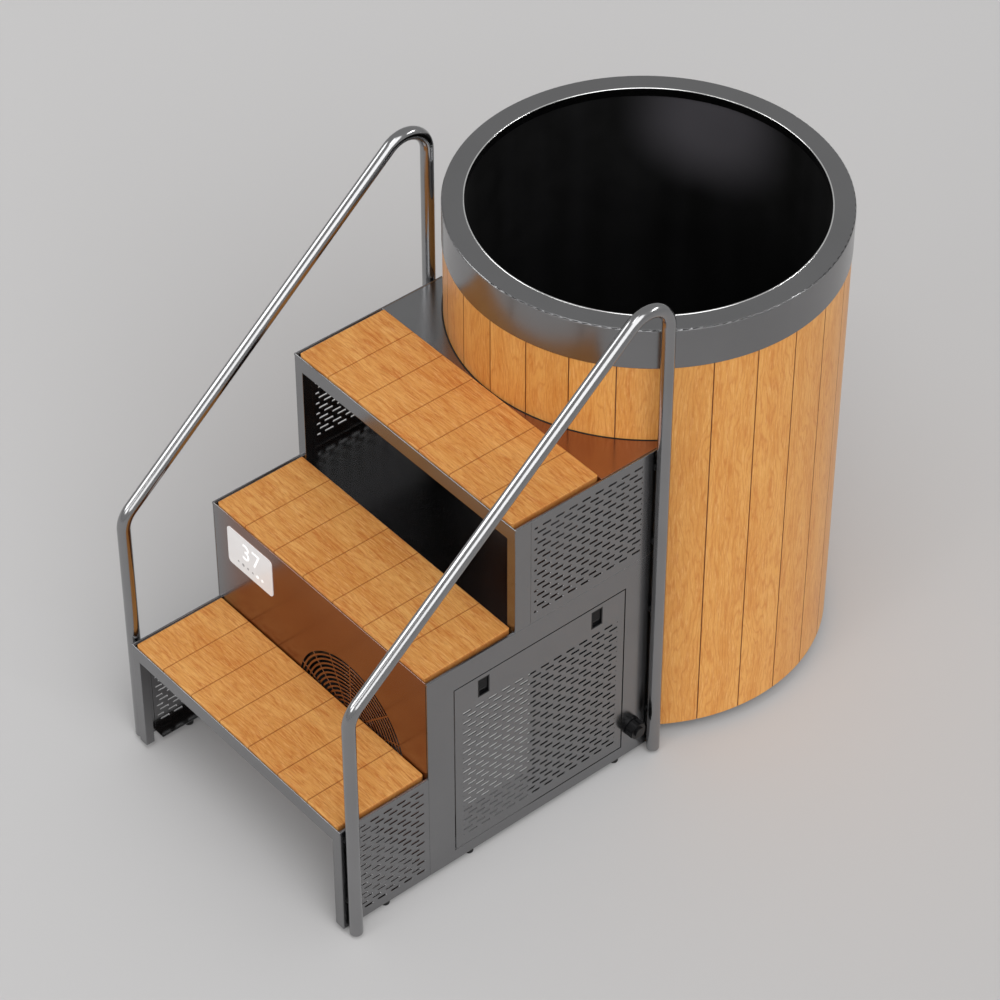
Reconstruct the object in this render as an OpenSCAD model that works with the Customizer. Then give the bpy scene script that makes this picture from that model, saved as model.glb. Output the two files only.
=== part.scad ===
// Cold plunge tub: a round stave tub, a three step stair cabinet with the chiller inside, and two handrails.
// All sizes are in millimetres. +Z is up, +Y is the way up the stairs, towards the tub.
// The origin lies on the floor under the middle of the whole object.

/* [Stairs] */
// Width over the side panels
stair_w = 700; // [640:10:760]
// Depth of one step, from riser to riser
run = 227; // [210:1:260]
// Height of the first rim above the floor
rise_1 = 300; // [280:1:330]
// Height of the second rim above the floor
rise_2 = 568; // [550:1:600]
// Height of the third rim above the floor
rise_3 = 845; // [820:1:890]
// How far the side panels run on behind the third tread
rear_reach = 162; // [120:1:170]
// Gap between the floor and the sheet steel
lift = 15; // [12:1:25]
// Thickness of the sheet steel
sheet_t = 2; // [1.5:0.1:2.5]
// Width of a front leg
leg_w = 25; // [20:1:40]
// Depth of a front leg along the side
leg_d = 40; // [34:1:44]
// Depth of the inner fold of a front leg
leg_return = 20; // [10:1:30]
// Height of the apron under an open rim
apron_h = 37; // [25:1:60]
// Width of the folded hem along a side
hem_w = 5; // [4.5:0.5:7]
// Height of the folded hem
hem_h = 6; // [5:0.5:9]
// Radius of a folded edge
fold_r = 2; // [1:0.1:2.2]
// Width of the flange under a step side
flange_w = 28; // [24:1:40]
// Width of the rear flange of a side
rear_flange_w = 60; // [58:1:80]
// Thickness of the rubber edge between the deck and the tub
seal_t = 2.5; // [1.5:0.1:4]
// Clearance between neighbouring pieces
gap = 0.3; // [0.2:0.05:0.5]

/* [Treads] */
// Thickness of a tread
tread_t = 20; // [16:1:26]
// Height of a tread above its rim
tread_proud = 5.4; // [3:0.2:8]
// Depth of the second and third treads
tread_d = 223; // [200:1:224]
// Setback of a tread behind its rim
tread_set = 3; // [3:0.5:3.5]
// Gap at each end of a tread to the outer face of the side
tread_end_gap = 12.5; // [9:0.5:30]
// Corner radius of a tread seen from above
tread_corner = 9; // [4:0.5:15]
// Radius of the top edges of a tread
tread_edge = 4; // [2:0.5:6]
// Number of strips in a tread
strip_count = 7; // [4:1:9]
// Depth of the groove between two strips
groove_depth = 2.2; // [1:0.1:3]
// Width of the groove between two strips
groove_w = 3.6; // [2:0.2:6]

/* [Perforation] */
// Length of a slot
slot_l = 23; // [15:0.5:26]
// Height of a slot
slot_h = 5.2; // [3:0.1:7]
// Distance from one slot to the next in a row
slot_pitch = 34.2; // [30:0.2:45]
// Distance from one row of slots to the next
row_pitch = 14.1; // [11:0.1:18]
// Shift of every second row
row_shift = 21; // [15:0.5:22]
// Rows of slots in a side of step one
rows_1 = 18; // [8:1:18]
// Rows of slots in a side of step three
rows_3 = 17; // [8:1:17]
// Rows of slots in the door
rows_door = 26; // [10:1:26]
// Rows of slots in the left vent
rows_vent = 14; // [6:1:20]
// Height of the lowest row above the foot of its panel
row_base = 27; // [24:1:35]
// Height of the lowest row of the door above the foot of the cabinet
row_base_door = 60; // [50:1:70]
// Height of the lowest row of the left vent above the foot of the cabinet
row_base_vent = 260; // [200:5:300]
// Plain strip before a field of slots
field_front = 8; // [6:0.5:12]
// Plain strip behind the slots of step one
field_rear_1 = 12.4; // [8:0.1:20]
// Plain strip behind the slots of step three
field_rear_3 = 56; // [48:1:80]
// Plain strip before the slots of the door
door_margin = 20; // [16:0.5:30]
// Plain strip behind the slots of the door
door_margin_rear = 17.5; // [16:0.5:30]
// Place of a slot in the lowest row of step one, from the front
phase_1 = 21.2; // [0:0.1:34]
// Place of a slot in the lowest row of step three, from its riser
phase_3 = 35; // [0:0.1:40]
// Place of a slot in the lowest row of the door, from its edge
phase_door = 33; // [20:0.1:50]
// Length of the shortest slot that an edge leaves
slot_least = 1.5; // [1:0.1:3]

/* [Grille] */
// Distance of the fan centre to the right of the middle
fan_x = 100; // [60:1:110]
// Height of the fan centre
fan_z = 260; // [245:1:300]
// Radius of the punched grille
grille_r = 172; // [120:1:172]
// Number of ring slots
ring_count = 13; // [6:1:14]
// Distance from one ring slot to the next
ring_pitch = 10.4; // [8:0.1:10.6]
// Width of a ring slot
ring_slot = 6; // [4:0.2:7]
// Number of spokes
spoke_count = 16; // [8:1:24]
// Width of a spoke
spoke_w = 3.4; // [2:0.2:6]

/* [Control panel] */
// Width of the control panel
screen_w = 150; // [100:1:200]
// Height of the control panel
screen_h = 100; // [60:1:120]
// Distance of its centre to the left of the middle
screen_x = 225; // [200:1:235]
// Distance of its centre below the second rim
screen_drop = 79; // [65:1:100]
// Corner radius of the control panel
screen_r = 10; // [2:1:20]
// Thickness in front of the riser
screen_t = 1.5; // [1:0.1:3]
// Depth of its body behind the face of the riser
screen_body = 14; // [8:1:25]
// How much smaller the body is than the face
screen_lap = 12; // [6:1:20]

/* [Door] */
// Width of the access door
door_w = 450; // [380:1:460]
// Height of the access door
door_h = 460; // [435:1:470]
// Distance from the door to the rear end of the side
door_y = 96; // [90:1:104]
// Height of the bottom of the door
door_z = 46.5; // [42:0.5:60]
// Gap round the door
door_gap = 3; // [2.8:0.1:4]
// Depth of the folded edge of the door
door_fold = 14; // [12:0.5:20]
// Radius of a hinge pin
pin_r = 3; // [2:0.1:4]
// Distance of the hinge axis behind the outer face
pin_in = 9; // [8:0.1:10]
// Height of the hinge axis above the bottom of the door
pin_up = 7.5; // [6:0.1:8]
// Length of a hinge pin
pin_l = 9; // [6:0.5:14]
// Width of a hinge bracket
hinge_w = 8; // [5:0.5:12]
// How far a hinge bracket reaches below the door's opening
hinge_drop = 14; // [8:0.5:20]
// Width of a latch
latch_w = 30; // [24:1:36]
// Height of a latch
latch_h = 47.5; // [36:0.5:50]
// Distance from a side edge of the door to its latch
latch_in = 60; // [40:1:100]
// Distance from the top edge of the door to a latch
latch_drop = 9.5; // [8:0.5:12]
// Travel of a latch slider
latch_travel = 6; // [6:0.5:8]
// Depth of a latch housing
latch_depth = 12; // [11:0.5:13]
// Rim round the recess of a latch
latch_rim = 3; // [2:0.5:4]
// Thickness of the tongue of a latch
tongue_t = 4; // [3:0.1:4.5]
// How far the tongue of a latch reaches past the top of the opening
tongue_over = 3; // [2:0.5:5]
// Thickness of the thumb pad of a latch
pad_t = 2.5; // [1.5:0.1:3]
// Room above and below the thumb pad
pad_room = 4; // [3:0.5:6]
// Number of ribs on the thumb pad
rib_count = 4; // [2:1:6]

/* [Tub] */
// Outer radius of the staves
stave_r = 418.2; // [400:0.1:450]
// Thickness of a stave
stave_t = 20; // [16:0.5:26]
// Number of staves
stave_count = 27; // [19:2:39]
// Height of the top of the rim
tub_h = 1129; // [1000:1:1250]
// Height of the lower ends of the staves
stave_z = 33.7; // [28:0.1:60]
// Depth of the groove between two staves
seam_depth = 1.5; // [0.5:0.1:3]
// Width of the groove between two staves
seam_w = 1.6; // [0.8:0.1:3]
// Gap between two neighbouring staves
seam_gap = 0.3; // [0.1:0.05:0.6]
// Gap between the third tread and the staves
tub_gap = 3.2; // [3:0.1:6]
// Height of the steel band of the rim
band_h = 97; // [40:1:160]
// Thickness of the rim sheet
rim_t = 1.2; // [1:0.1:2]
// Width of the flat top of the rim
rim_w = 46.3; // [45:0.1:49]
// Height of the inner lip of the rim
lip_h = 20; // [10:1:40]
// Radius of the outer top edge of the rim
rim_edge = 3; // [2:0.1:5]
// Thickness of the liner
liner_t = 4; // [3:0.5:6]
// Height of the underside of the liner
liner_z = 60; // [50:1:110]
// Inner radius between the wall and the floor of the liner
liner_cove = 40; // [20:1:80]
// Radius of the plinth under the tub
plinth_r = 372; // [300:1:375]
// Width of the plinth ring
plinth_w = 14; // [10:1:40]
// Thickness of the base disc
base_t = 6; // [4:0.5:10]
// Setback of the base disc behind the staves
base_in = 8; // [4:1:20]
// Radius of a pad under the plinth
pad_r = 18; // [10:1:25]
// Height of a pad under the plinth
pad_h = 6; // [4:0.5:10]
// Number of pads under the plinth
pad_count = 8; // [6:1:16]

/* [Handrails] */
// Outer diameter of the handrail tube
rail_d = 28.6; // [25:0.1:34]
// Wall of the handrail tube
rail_wall = 1.5; // [1:0.1:2.5]
// Thickness of the spacer between a tube and the side
spacer_t = 3.5; // [2:0.1:8]
// Distance from the front to the axis of the front post
post_front = 18.3; // [17:0.1:20]
// Distance from the back of the side to the rear post axis
post_rear = 18.5; // [15:0.1:24]
// Height where the sloped run meets the front post
bend_z = 627.8; // [560:0.1:720]
// Angle of the sloped run above level
slope_angle = 40.1; // [34:0.1:43]
// Bend radius at the foot of the sloped run
lower_bend = 60; // [40:1:100]
// Bend radius at the top of the sloped run
upper_bend = 60; // [40:1:70]
// Width of a weld between a bend and a straight length
weld_w = 2; // [1:0.1:4]
// Height of a weld above the tube
weld_proud = 0.1; // [0.1:0.05:0.3]
// Height of the lowest bolt of a front post
front_bolt_z = 92; // [60:1:140]
// Height of the lowest bolt of a rear post
rear_bolt_z = 115; // [90:1:160]
// Distance from a rim to the bolt next to it
bolt_edge = 30; // [20:1:40]
// Distance of the middle rear bolt below the second rim
mid_bolt_drop = 161; // [120:1:200]
// Distance of the top rear bolt below the third rim
top_bolt_drop = 46; // [35:1:60]
// Radius of a bolt shank
bolt_r = 2.5; // [2:0.1:3]
// Radius of a bolt head
bolt_head_r = 4.5; // [4:0.1:5]
// Height of a bolt head
bolt_head_h = 4; // [3:0.5:5]
// Radius of the hexagon socket in a bolt head
socket_r = 1.5; // [1:0.1:2]
// Radius of the hole in the outside of the tube for the key
tool_r = 3.2; // [2.5:0.1:4]
// How far a bolt reaches behind the side panel
bolt_tail = 9; // [8:0.5:14]
// Height of a nut
nut_h = 6; // [4:0.5:8]
// Radius over the corners of a nut
nut_r = 5; // [4.5:0.1:7]
// Clearance of a bolt in its hole
bolt_fit = 0.1; // [0.05:0.05:0.3]
// Radius of a spacer
spacer_r = 9; // [6:0.5:12]
// Height of the end cap of a tube
cap_h = 12; // [8:0.5:20]
// Height of the foot of a post
post_z = 7; // [1:1:12]
// Radius of the lower edge of an end cap
cap_edge = 5; // [2:0.5:8]
// Length of the plug of an end cap inside its tube
cap_plug = 14; // [8:1:25]

/* [Control box] */
// Distance of the control box behind the second riser
box_y = 40; // [30:1:60]
// Width of the control box along the side
box_l = 130; // [100:1:150]
// Depth of the control box without its lid
box_d = 55; // [40:1:70]
// Height of the control box
box_h = 200; // [150:1:220]
// Height of the underside of the control box
box_z = 330; // [300:1:340]
// Wall of the control box
box_wall = 3; // [2:0.5:4]
// Radius of a cable gland under the control box
box_gland_r = 8; // [5:0.5:10]

/* [Feet] */
// Radius of a rubber foot
foot_r = 10; // [8:0.5:12]
// Distance of a foot from the face of the side
foot_in = 4; // [3:0.5:10]
// Distance of the front feet from the front
foot_front = 118; // [60:1:200]
// Distance of the middle feet behind the second riser
foot_mid = 114; // [60:1:200]
// Distance of the rear feet from the rear end of the side
foot_rear = 102; // [80:1:140]

/* [Water] */
// Radius of a pipe nozzle
nozzle_r = 14; // [10:0.5:15]
// Wall of a pipe nozzle
nozzle_wall = 3; // [2:0.1:4]
// Wall of a hose
hose_wall = 3.7; // [2:0.1:4]
// Radius of the flange of a wall fitting
flange_r = 36; // [25:1:45]
// Thickness of the flange of a wall fitting
flange_t = 8; // [5:0.5:12]
// Thickness of the nut of a wall fitting
fitting_nut_t = 8; // [5:0.5:12]
// How much wider that nut is than the barrel
fitting_nut_w = 6; // [4:0.5:10]
// How far a wall fitting reaches in front of the tub
fitting_l = 52; // [45:1:55]
// Length of a hose on its nozzle
hose_lap = 12; // [8:1:20]
// Height of the suction fitting
suction_z = 150; // [140:1:160]
// Height of the return fitting
return_z = 370; // [340:1:380]
// Radius of a hole in the suction strainer
strainer_r = 2.5; // [1.5:0.1:3]
// Height of the drain
drain_z = 95; // [88:1:100]
// Distance of the drain axis behind the door
drain_y = 28; // [26:1:34]
// Radius of the drain flange
drain_r = 22; // [18:0.5:23]
// Thickness of the drain flange
drain_t = 5; // [4:0.5:8]
// How far the drain's nut reaches behind the face of the side
drain_nut = 14; // [10:0.5:16]
// Length of the drain's nozzle outside its flange
drain_spout = 14; // [12:0.5:16]
// Radius of the drain cap
cap_r = 21; // [18:0.5:23]
// Length of the drain cap
cap_l = 20; // [18:1:26]
// Thickness of the end wall of the drain cap
cap_wall = 3; // [2:0.5:4]
// Radius of a grip rib on the drain cap
grip_r = 2; // [1:0.1:2.5]
// Number of grip ribs on the drain cap
grip_count = 12; // [8:1:16]
// Bend radius of the drain hose
hose_bend = 40; // [30:1:45]
// Distance of the drain hose inside the side panel
drain_hose_in = 70; // [62:1:90]
// Distance of the manifold in front of the tub
manifold_in = 87; // [80:1:90]
// Radius of the manifold
manifold_r = 18; // [16:0.5:24]
// Radius of the foot of the manifold
manifold_foot_r = 24; // [20:1:30]
// Height of the manifold above the suction pipe
manifold_over = 20; // [18:1:30]
// Thickness of a foot flange
foot_flange = 8; // [4:0.5:12]
// Length of a manifold branch from its axis
branch_l = 42; // [36:1:50]
// Inner radius of the cable gland
gland_bore = 5; // [3:0.5:7]
// Wall of the cable gland
gland_wall = 4; // [2:0.5:5]
// Length of the cable gland outside the side
gland_l = 22; // [16:1:30]
// Length of the cable gland inside the side
gland_tail = 14; // [12:1:20]

/* [Pump and filter] */
// Distance of the pump's volute to the left of the middle
pump_left = 195; // [190:1:205]
// Height of the pump's axis
pump_z = 110; // [104:1:116]
// Radius of the pump's motor
pump_motor_r = 44; // [36:1:48]
// Length of the pump's motor
pump_motor_l = 105; // [80:1:115]
// Radius of the volute
volute_r = 56; // [50:1:60]
// Width of the volute
volute_w = 40; // [34:1:44]
// Wall of the volute
volute_wall = 6; // [4:0.5:8]
// Length of the pump's inlet outside the volute
pump_inlet = 25; // [20:1:30]
// Height of the pump's outlet above its axis
pump_outlet = 85; // [80:1:90]
// Width and length of the pump's foot
pump_foot_w = 64; // [40:1:80]
// Thickness of an impeller disc
disc_t = 4; // [3:0.5:5]
// Radius of the impeller
impeller_r = 46; // [40:0.5:48]
// Thickness of an impeller blade
vane_t = 3; // [2:0.1:4]
// Number of impeller blades
vane_count = 6; // [4:1:8]
// Distance of the filter behind the front
filter_y = 430; // [425:1:436]
// Outer radius of the filter housing
filter_r = 60; // [50:1:62]
// Wall of the filter housing
filter_wall = 6; // [4:0.5:8]
// Height of the top of the filter housing
filter_top = 330; // [325:1:350]
// Height of the underside of the filter housing
filter_z = 60; // [50:1:70]
// Radius of the foot of the filter housing
filter_foot_r = 40; // [30:1:50]
// Distance of the filter's upper port below its top
port_drop = 40; // [38:1:50]
// Length of a filter port from the axis
port_l = 82; // [76:1:84]
// Bend radius of the hose from the pump to the filter
filter_bend = 55; // [40:1:58]
// Outer radius of the cartridge
cartridge_r = 40; // [30:1:48]
// Inner radius of the cartridge
cartridge_in = 18; // [10:1:24]
// Thickness of the filter lid's wall
lid_wall = 5.7; // [4:0.1:6]
// How far the filter lid reaches down over the housing
lid_skirt = 24; // [16:1:30]
// Length of the handle on the filter lid
handle_l = 100; // [60:1:110]
// Width of the handle on the filter lid
handle_w = 12; // [8:1:20]
// Radius of a grip rib on the filter lid
lid_rib_r = 3; // [2:0.5:4]

/* [Chiller] */
// Width of the chiller casing
chiller_w = 350; // [345:1:355]
// Depth of the chiller casing
chiller_d = 330; // [325:1:332]
// Height of the chiller casing
chiller_h = 400; // [390:1:420]
// Thickness of the casing sheet
casing_t = 1.5; // [1:0.1:2]
// Height of the underside of the casing
casing_z = 40; // [34:1:46]
// Distance of the casing behind the front sheet
casing_gap = 6; // [5:0.5:10]
// How far the casing's middle stands to the left of the fan
casing_shift = 8; // [0:1:12]
// Radius of a foot under the casing
casing_foot_r = 12; // [8:1:16]
// Distance of a casing foot from the casing's side
casing_foot_in = 30; // [20:1:60]
// Height of the chiller's water inlet above the drain
inlet_up = 15; // [10:1:20]
// Radius of the evaporator
evaporator_r = 46; // [36:1:48]
// Height of the top of the evaporator
evaporator_top = 385; // [375:1:390]
// Distance of the compressor from the casing's right side
compressor_in = 87; // [85:1:90]
// Distance of the compressor from the casing's rear wall
compressor_rear = 85; // [80:1:88]
// Radius of the compressor
compressor_r = 62; // [50:1:64]
// Height of the compressor's shell
compressor_h = 170; // [140:1:190]
// Corner radius of the compressor's shell
compressor_round = 30; // [15:1:40]
// Height of the compressor's shell above the casing floor
compressor_z = 20; // [16:1:30]
// Radius of the compressor's lid
compressor_lid_r = 50; // [40:1:58]
// Distance of a compressor foot from the compressor's axis
mount_r = 70; // [66:1:74]
// Radius of a rubber mount under the compressor
mount_pad_r = 9; // [6:1:11]
// Thickness of a compressor foot
mount_t = 4; // [3:0.5:6]
// Thickness of the condenser
condenser_t = 36; // [24:1:40]
// Distance of the condenser behind the casing's front
condenser_y = 95; // [93:1:98]
// Thickness of a condenser fin
fin_t = 1; // [0.6:0.1:2]
// Distance from one fin to the next
fin_pitch = 9; // [6:0.5:14]
// Number of condenser tubes
tube_count = 9; // [5:1:9]
// Radius of a condenser tube
tube_r = 6; // [4:0.5:7]
// Distance from one condenser tube to the next
tube_pitch = 40; // [30:1:40]
// Distance of the condenser's ends from the casing's ends
condenser_room = 20; // [18:1:24]
// Radius of a refrigerant pipe
pipe_r = 5; // [3:0.5:6]
// Bend radius of a refrigerant pipe
pipe_bend = 30; // [20:1:32]
// Height of the upper refrigerant pipe
pipe_z = 340; // [330:1:345]
// Height of the pipe from the compressor to the evaporator
pipe_low_z = 200; // [190:1:205]

/* [Fan] */
// Outer radius of the fan blades
blade_r = 154; // [120:1:156]
// Number of fan blades
blade_count = 5; // [3:1:9]
// Width of a fan blade before it is turned
blade_w = 124; // [80:1:130]
// Thickness of a fan blade
blade_t = 3; // [2:0.1:4]
// Angle of a fan blade to the fan's plane
blade_angle = 28; // [15:1:28]
// Depth of the fan
fan_d = 42; // [36:1:44]
// Distance of the fan behind the casing's front
fan_in = 14; // [12:1:16]
// Radius of the fan's hub
hub_r = 40; // [34:1:41]
// Radius of a motor shaft
shaft_r = 4; // [3:0.1:5]
// Running clearance of a shaft in its bore
fit = 0.06; // [0.02:0.01:0.1]
// Radius of the fan's motor
fan_motor_r = 36.7; // [30:0.1:36.8]
// Depth of the fan's motor
fan_motor_d = 28; // [24:1:32]
// Radius of the motor's mounting flange
motor_flange_r = 44; // [42:0.5:45]
// Thickness of the shroud's plate
shroud_t = 2; // [1.5:0.1:3]
// Gap between the blades and the shroud
shroud_gap = 6; // [4:0.5:8]
// Depth of the shroud with its motor arms
shroud_d = 84; // [80:1:86]
// Thickness of the motor arms
arm_t = 4; // [3:0.5:6]
// Width of a motor arm
arm_w = 10; // [8:1:16]

/* [Hidden] */
$fn = 48;
tiny = 0.01;
over = 1;
round_fn = 180;
ring_fn = 96;
small_fn = 16;

half_w = stair_w / 2;
step_3 = 2 * run;
tub_front = step_3 + tread_set + tread_d + tub_gap;
tub_y = tub_front + stave_r;
rim_r = stave_r + gap + rim_t;
total_d = tub_y + rim_r;
rear_y = 3 * run + rear_reach;
tray_half = half_w - hem_w - gap;
tray_in = max(sheet_t + gap, tread_set);
tread_half = half_w - tread_end_gap;
strip_w = 2 * tread_half / strip_count;
grooves = [for (i = [1 : strip_count - 1]) -tread_half + i * strip_w];
notch_w = 0.6 * groove_w;
seal_r = stave_r + gap + seal_t;
back_r = seal_r + sheet_t;

door_y0 = rear_y - door_y - door_w;
door_y1 = door_y0 + door_w;
door_top = door_z + door_h;
latch_ys = [door_y0 + latch_in, door_y1 - latch_in - latch_w];
latch_z = door_top - latch_drop - latch_h;
pin_x = half_w - pin_in;
pin_z = door_z + pin_up;
screen_z = rise_2 - screen_drop;

stave_in = stave_r - stave_t;
liner_in = rim_r - rim_w + rim_t + 2 * gap;
liner_out = liner_in + liner_t;
liner_seam = liner_z + liner_t + liner_cove + over;
rim_z = tub_h - rim_t;
barrel_r = nozzle_r + nozzle_wall;
hose_bore = nozzle_r + gap;
hose_r = hose_bore + hose_wall;
nut_y = tub_y - back_r - gap;
flange_y = tub_y - sqrt(liner_in * liner_in - flange_r * flange_r) + gap;
nozzle_y = tub_front - fitting_l;
pipe_bore = nozzle_r - nozzle_wall;
drain_axis = door_y1 + drain_y;
drain_turn_x = half_w - drain_hose_in;
manifold_y = tub_front - manifold_in;

rail_r = rail_d / 2;
rail_x = half_w + spacer_t + rail_r;
rail_in = rail_r - rail_wall;
tube_z = post_z + cap_h;
post_y1 = post_front;
post_y2 = rear_y - post_rear;
lower_turn = 90 - slope_angle;
lower_drop = lower_bend * tan(lower_turn / 2);
upper_turn = 90 + slope_angle;
slope_u0 = post_y1 + lower_drop * cos(slope_angle);
slope_v0 = bend_z + lower_drop * sin(slope_angle);
upper_u = post_y2 - upper_bend;
upper_v = bend_z + (upper_u - post_y1) * tan(slope_angle) - upper_bend / cos(slope_angle);
slope_l = (upper_u - upper_bend * sin(slope_angle) - slope_u0) / cos(slope_angle);
bolts_front = [front_bolt_z, rise_1 - bolt_edge];
bolts_rear = [rear_bolt_z, rise_2 - mid_bolt_drop, rise_2 + bolt_edge, rise_3 - top_bolt_drop];
bolt_seat = rail_x - sqrt(rail_in * rail_in - bolt_head_r * bolt_head_r) + gap;
feet_y = [foot_front, run + foot_mid, rear_y - foot_rear];

pump_x = -pump_left;
port_z = filter_top - port_drop;
casing_x0 = fan_x - chiller_w / 2 - casing_shift;
casing_x1 = casing_x0 + chiller_w;
casing_y0 = run + sheet_t + casing_gap;
casing_y1 = casing_y0 + chiller_d;
casing_top = casing_z + chiller_h;
casing_floor = casing_z + casing_t + tiny;
cabinet_floor = lift + sheet_t + tiny;
inlet_z = drain_z + inlet_up;
compressor_x = casing_x1 - compressor_in;
compressor_y = casing_y1 - compressor_rear;
condenser_y0 = casing_y0 + condenser_y;
condenser_y1 = condenser_y0 + condenser_t;

steel = "#66676a";
bright = "#c9cbce";
oak = "#d09a55";
black = "#161617";
foam = "#d8cfa8";
white = "#e6e6e4";
rubber = "#232325";
copper = "#b87347";
aluminium = "#9a9da1";

// Height of the floor of the pan under a tread whose rim is at z.
function pan_z(z) = z + tread_proud - tread_t - gap;

// Places what is measured from the front of the first step.
module from_front() {
    translate([0, -total_d / 2, 0]) children();
}

// A block given by its low and high corners.
module block(low, high) {
    translate(low) cube(high - low);
}

// A round bar or disc along X.
module bar_x(x0, x1, y, z, r) {
    translate([x0, y, z]) rotate([0, 90, 0]) cylinder(h = x1 - x0, r = r);
}

// A round bar or disc along Y.
module bar_y(y0, y1, x, z, r) {
    translate([x, y1, z]) rotate([90, 0, 0]) cylinder(h = y1 - y0, r = r);
}

// A round bar or disc along Z.
module bar_z(z0, z1, x, y, r) {
    translate([x, y, z0]) cylinder(h = z1 - z0, r = r);
}

// A rectangle with round corners, from its centre.
module round_rect(w, h, r) {
    square([w - 2 * r, h], center = true);
    square([w, h - 2 * r], center = true);
    for (x = [-1, 1], y = [-1, 1])
        translate([x * (w / 2 - r), y * (h / 2 - r)]) circle(r);
}

// Turns a drawing of Y and Z into a sheet that grows along +X.
module sheet_x(x0, t) {
    translate([x0, 0, 0]) rotate([90, 0, 90]) linear_extrude(t) children();
}

// Turns a drawing of X and Z into a sheet that grows along +Y.
module sheet_y(y0, t) {
    translate([0, y0 + t, 0]) rotate([90, 0, 0]) linear_extrude(t) children();
}

// A slot with round ends from a to b, or a round hole where that is short.
module slot(a, b) {
    r = slot_h / 2;
    if (b - a > slot_h) {
        translate([a + r, -r]) square([b - a - slot_h, slot_h]);
        translate([a + r, 0]) circle(r, $fn = small_fn);
        translate([b - r, 0]) circle(r, $fn = small_fn);
    } else if (b - a > slot_least) {
        translate([(a + b) / 2, 0]) circle((b - a) / 2, $fn = small_fn);
    }
}

// Staggered rows of slots between two ends; phase is the place of one slot in the lowest row.
module slot_rows(a, b, z, rows, phase) {
    for (row = [0 : rows - 1]) {
        first = phase + (row % 2) * row_shift;
        steps = ceil((first - a + slot_l) / slot_pitch);
        for (k = [0 : ceil((b - a + slot_l) / slot_pitch)]) {
            start = first - steps * slot_pitch + k * slot_pitch;
            low = max(start, a);
            high = min(start + slot_l, b);
            if (high > low) translate([0, z + row * row_pitch]) slot(low, high);
        }
    }
}

// The section of a folded hem of width w: the outer face at 0, the top at 0.
module hem_section(w) {
    r = min(fold_r, w / 2 - tiny);
    translate([0, -hem_h]) square([w, hem_h - r]);
    translate([r, -r]) square([w - 2 * r, r]);
    for (x = [r, w - r]) translate([x, -r]) circle(r);
}

// A hem along the top of the right side.
module side_hem(y0, y1, z) {
    translate([half_w, y1, z]) rotate([90, 0, 0]) linear_extrude(y1 - y0) mirror([1, 0]) hem_section(hem_w);
}

// A hem up the front edge of the right side.
module corner_hem(y, z0, z1) {
    translate([half_w, y, z0]) linear_extrude(z1 - z0) rotate(180) hem_section(hem_w);
}

// A hem along the top of a front, just as wide as the strip before the tread.
module front_hem(y, z, half) {
    translate([-half, y, z]) rotate([90, 0, 90]) linear_extrude(2 * half) hem_section(tread_set - gap);
}

// A front of two folded legs and an apron, open below.
module open_front(y, z0, z1) {
    front_hem(y, z1, half_w);
    block([-half_w + fold_r, y, z1 - apron_h], [half_w - fold_r, y + sheet_t, z1 - fold_r]);
    for (side = [0, 1]) mirror([side, 0, 0]) {
        side_hem(y + fold_r, y + leg_d, z1);
        translate([0, 0, z0]) linear_extrude(z1 - z0 - fold_r) {
            translate([half_w - fold_r, y + fold_r]) circle(fold_r);
            translate([half_w - leg_w, y]) square([leg_w - fold_r, sheet_t]);
            translate([half_w - sheet_t, y + fold_r]) square([sheet_t, leg_d - fold_r]);
        }
        block([half_w - leg_w, y, z0], [half_w - leg_w + sheet_t, y + leg_return, z1 - apron_h]);
    }
}

// Cuts the bolt holes of one post through a side.
module bolt_cuts(y, heights) {
    for (z = heights) bar_x(half_w - sheet_t - over, half_w + over, y, z, bolt_r + bolt_fit);
}

// Cuts the room that the tub takes.
module tub_cut(z0, z1, r) {
    translate([0, tub_y, z0]) cylinder(h = z1 - z0, r = r, $fn = round_fn);
}

// A tread: strips with grooves between them, round edges and round corners.
module tread(y, z) {
    top = z + tread_proud;
    color(oak) from_front() intersection() {
        translate([0, 0, top - tread_t]) linear_extrude(tread_t) difference() {
            translate([0, y + tread_d / 2]) round_rect(2 * tread_half, tread_d, tread_corner);
            for (x = grooves) translate([x, y]) rotate(45) square(notch_w, center = true);
        }
        sheet_x(-tread_half, 2 * tread_half) union() {
            translate([y, top - tread_t]) square([tread_d, tread_t - tread_edge]);
            translate([y + tread_edge, top - tread_edge]) square([tread_d - 2 * tread_edge, tread_edge]);
            for (v = [y + tread_edge, y + tread_d - tread_edge])
                translate([v, top - tread_edge]) circle(tread_edge);
        }
        sheet_y(y, tread_d) difference() {
            union() {
                translate([-tread_half, top - tread_t]) square([2 * tread_half, tread_t - tread_edge]);
                translate([tread_edge - tread_half, top - tread_edge])
                    square([2 * (tread_half - tread_edge), tread_edge]);
                for (side = [-1, 1])
                    translate([side * (tread_half - tread_edge), top - tread_edge]) circle(tread_edge);
            }
            for (x = grooves) translate([x, top])
                polygon([[-groove_w / 2, tiny], [groove_w / 2, tiny], [0, -groove_depth]]);
        }
    }
}

module tread_1() { tread(tread_set, rise_1); }
module tread_2() { tread(run + tread_set, rise_2); }
module tread_3() { tread(step_3 + tread_set, rise_3); }

// Step one
module step1_frame() {
    color(steel) from_front() difference() {
        open_front(0, lift, rise_1);
        for (side = [0, 1]) mirror([side, 0, 0]) bolt_cuts(post_y1, bolts_front);
    }
}

module step1_side() {
    y0 = leg_d + gap;
    y1 = run - gap;
    side_hem(y0, y1, rise_1);
    sheet_x(half_w - sheet_t, sheet_t) difference() {
        translate([y0, lift]) square([y1 - y0, rise_1 - lift - fold_r]);
        slot_rows(leg_d + field_front, run - field_rear_1, lift + row_base, rows_1, phase_1);
    }
    block([half_w - flange_w, y0, lift], [half_w - sheet_t, y1, lift + sheet_t]);
}

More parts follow.
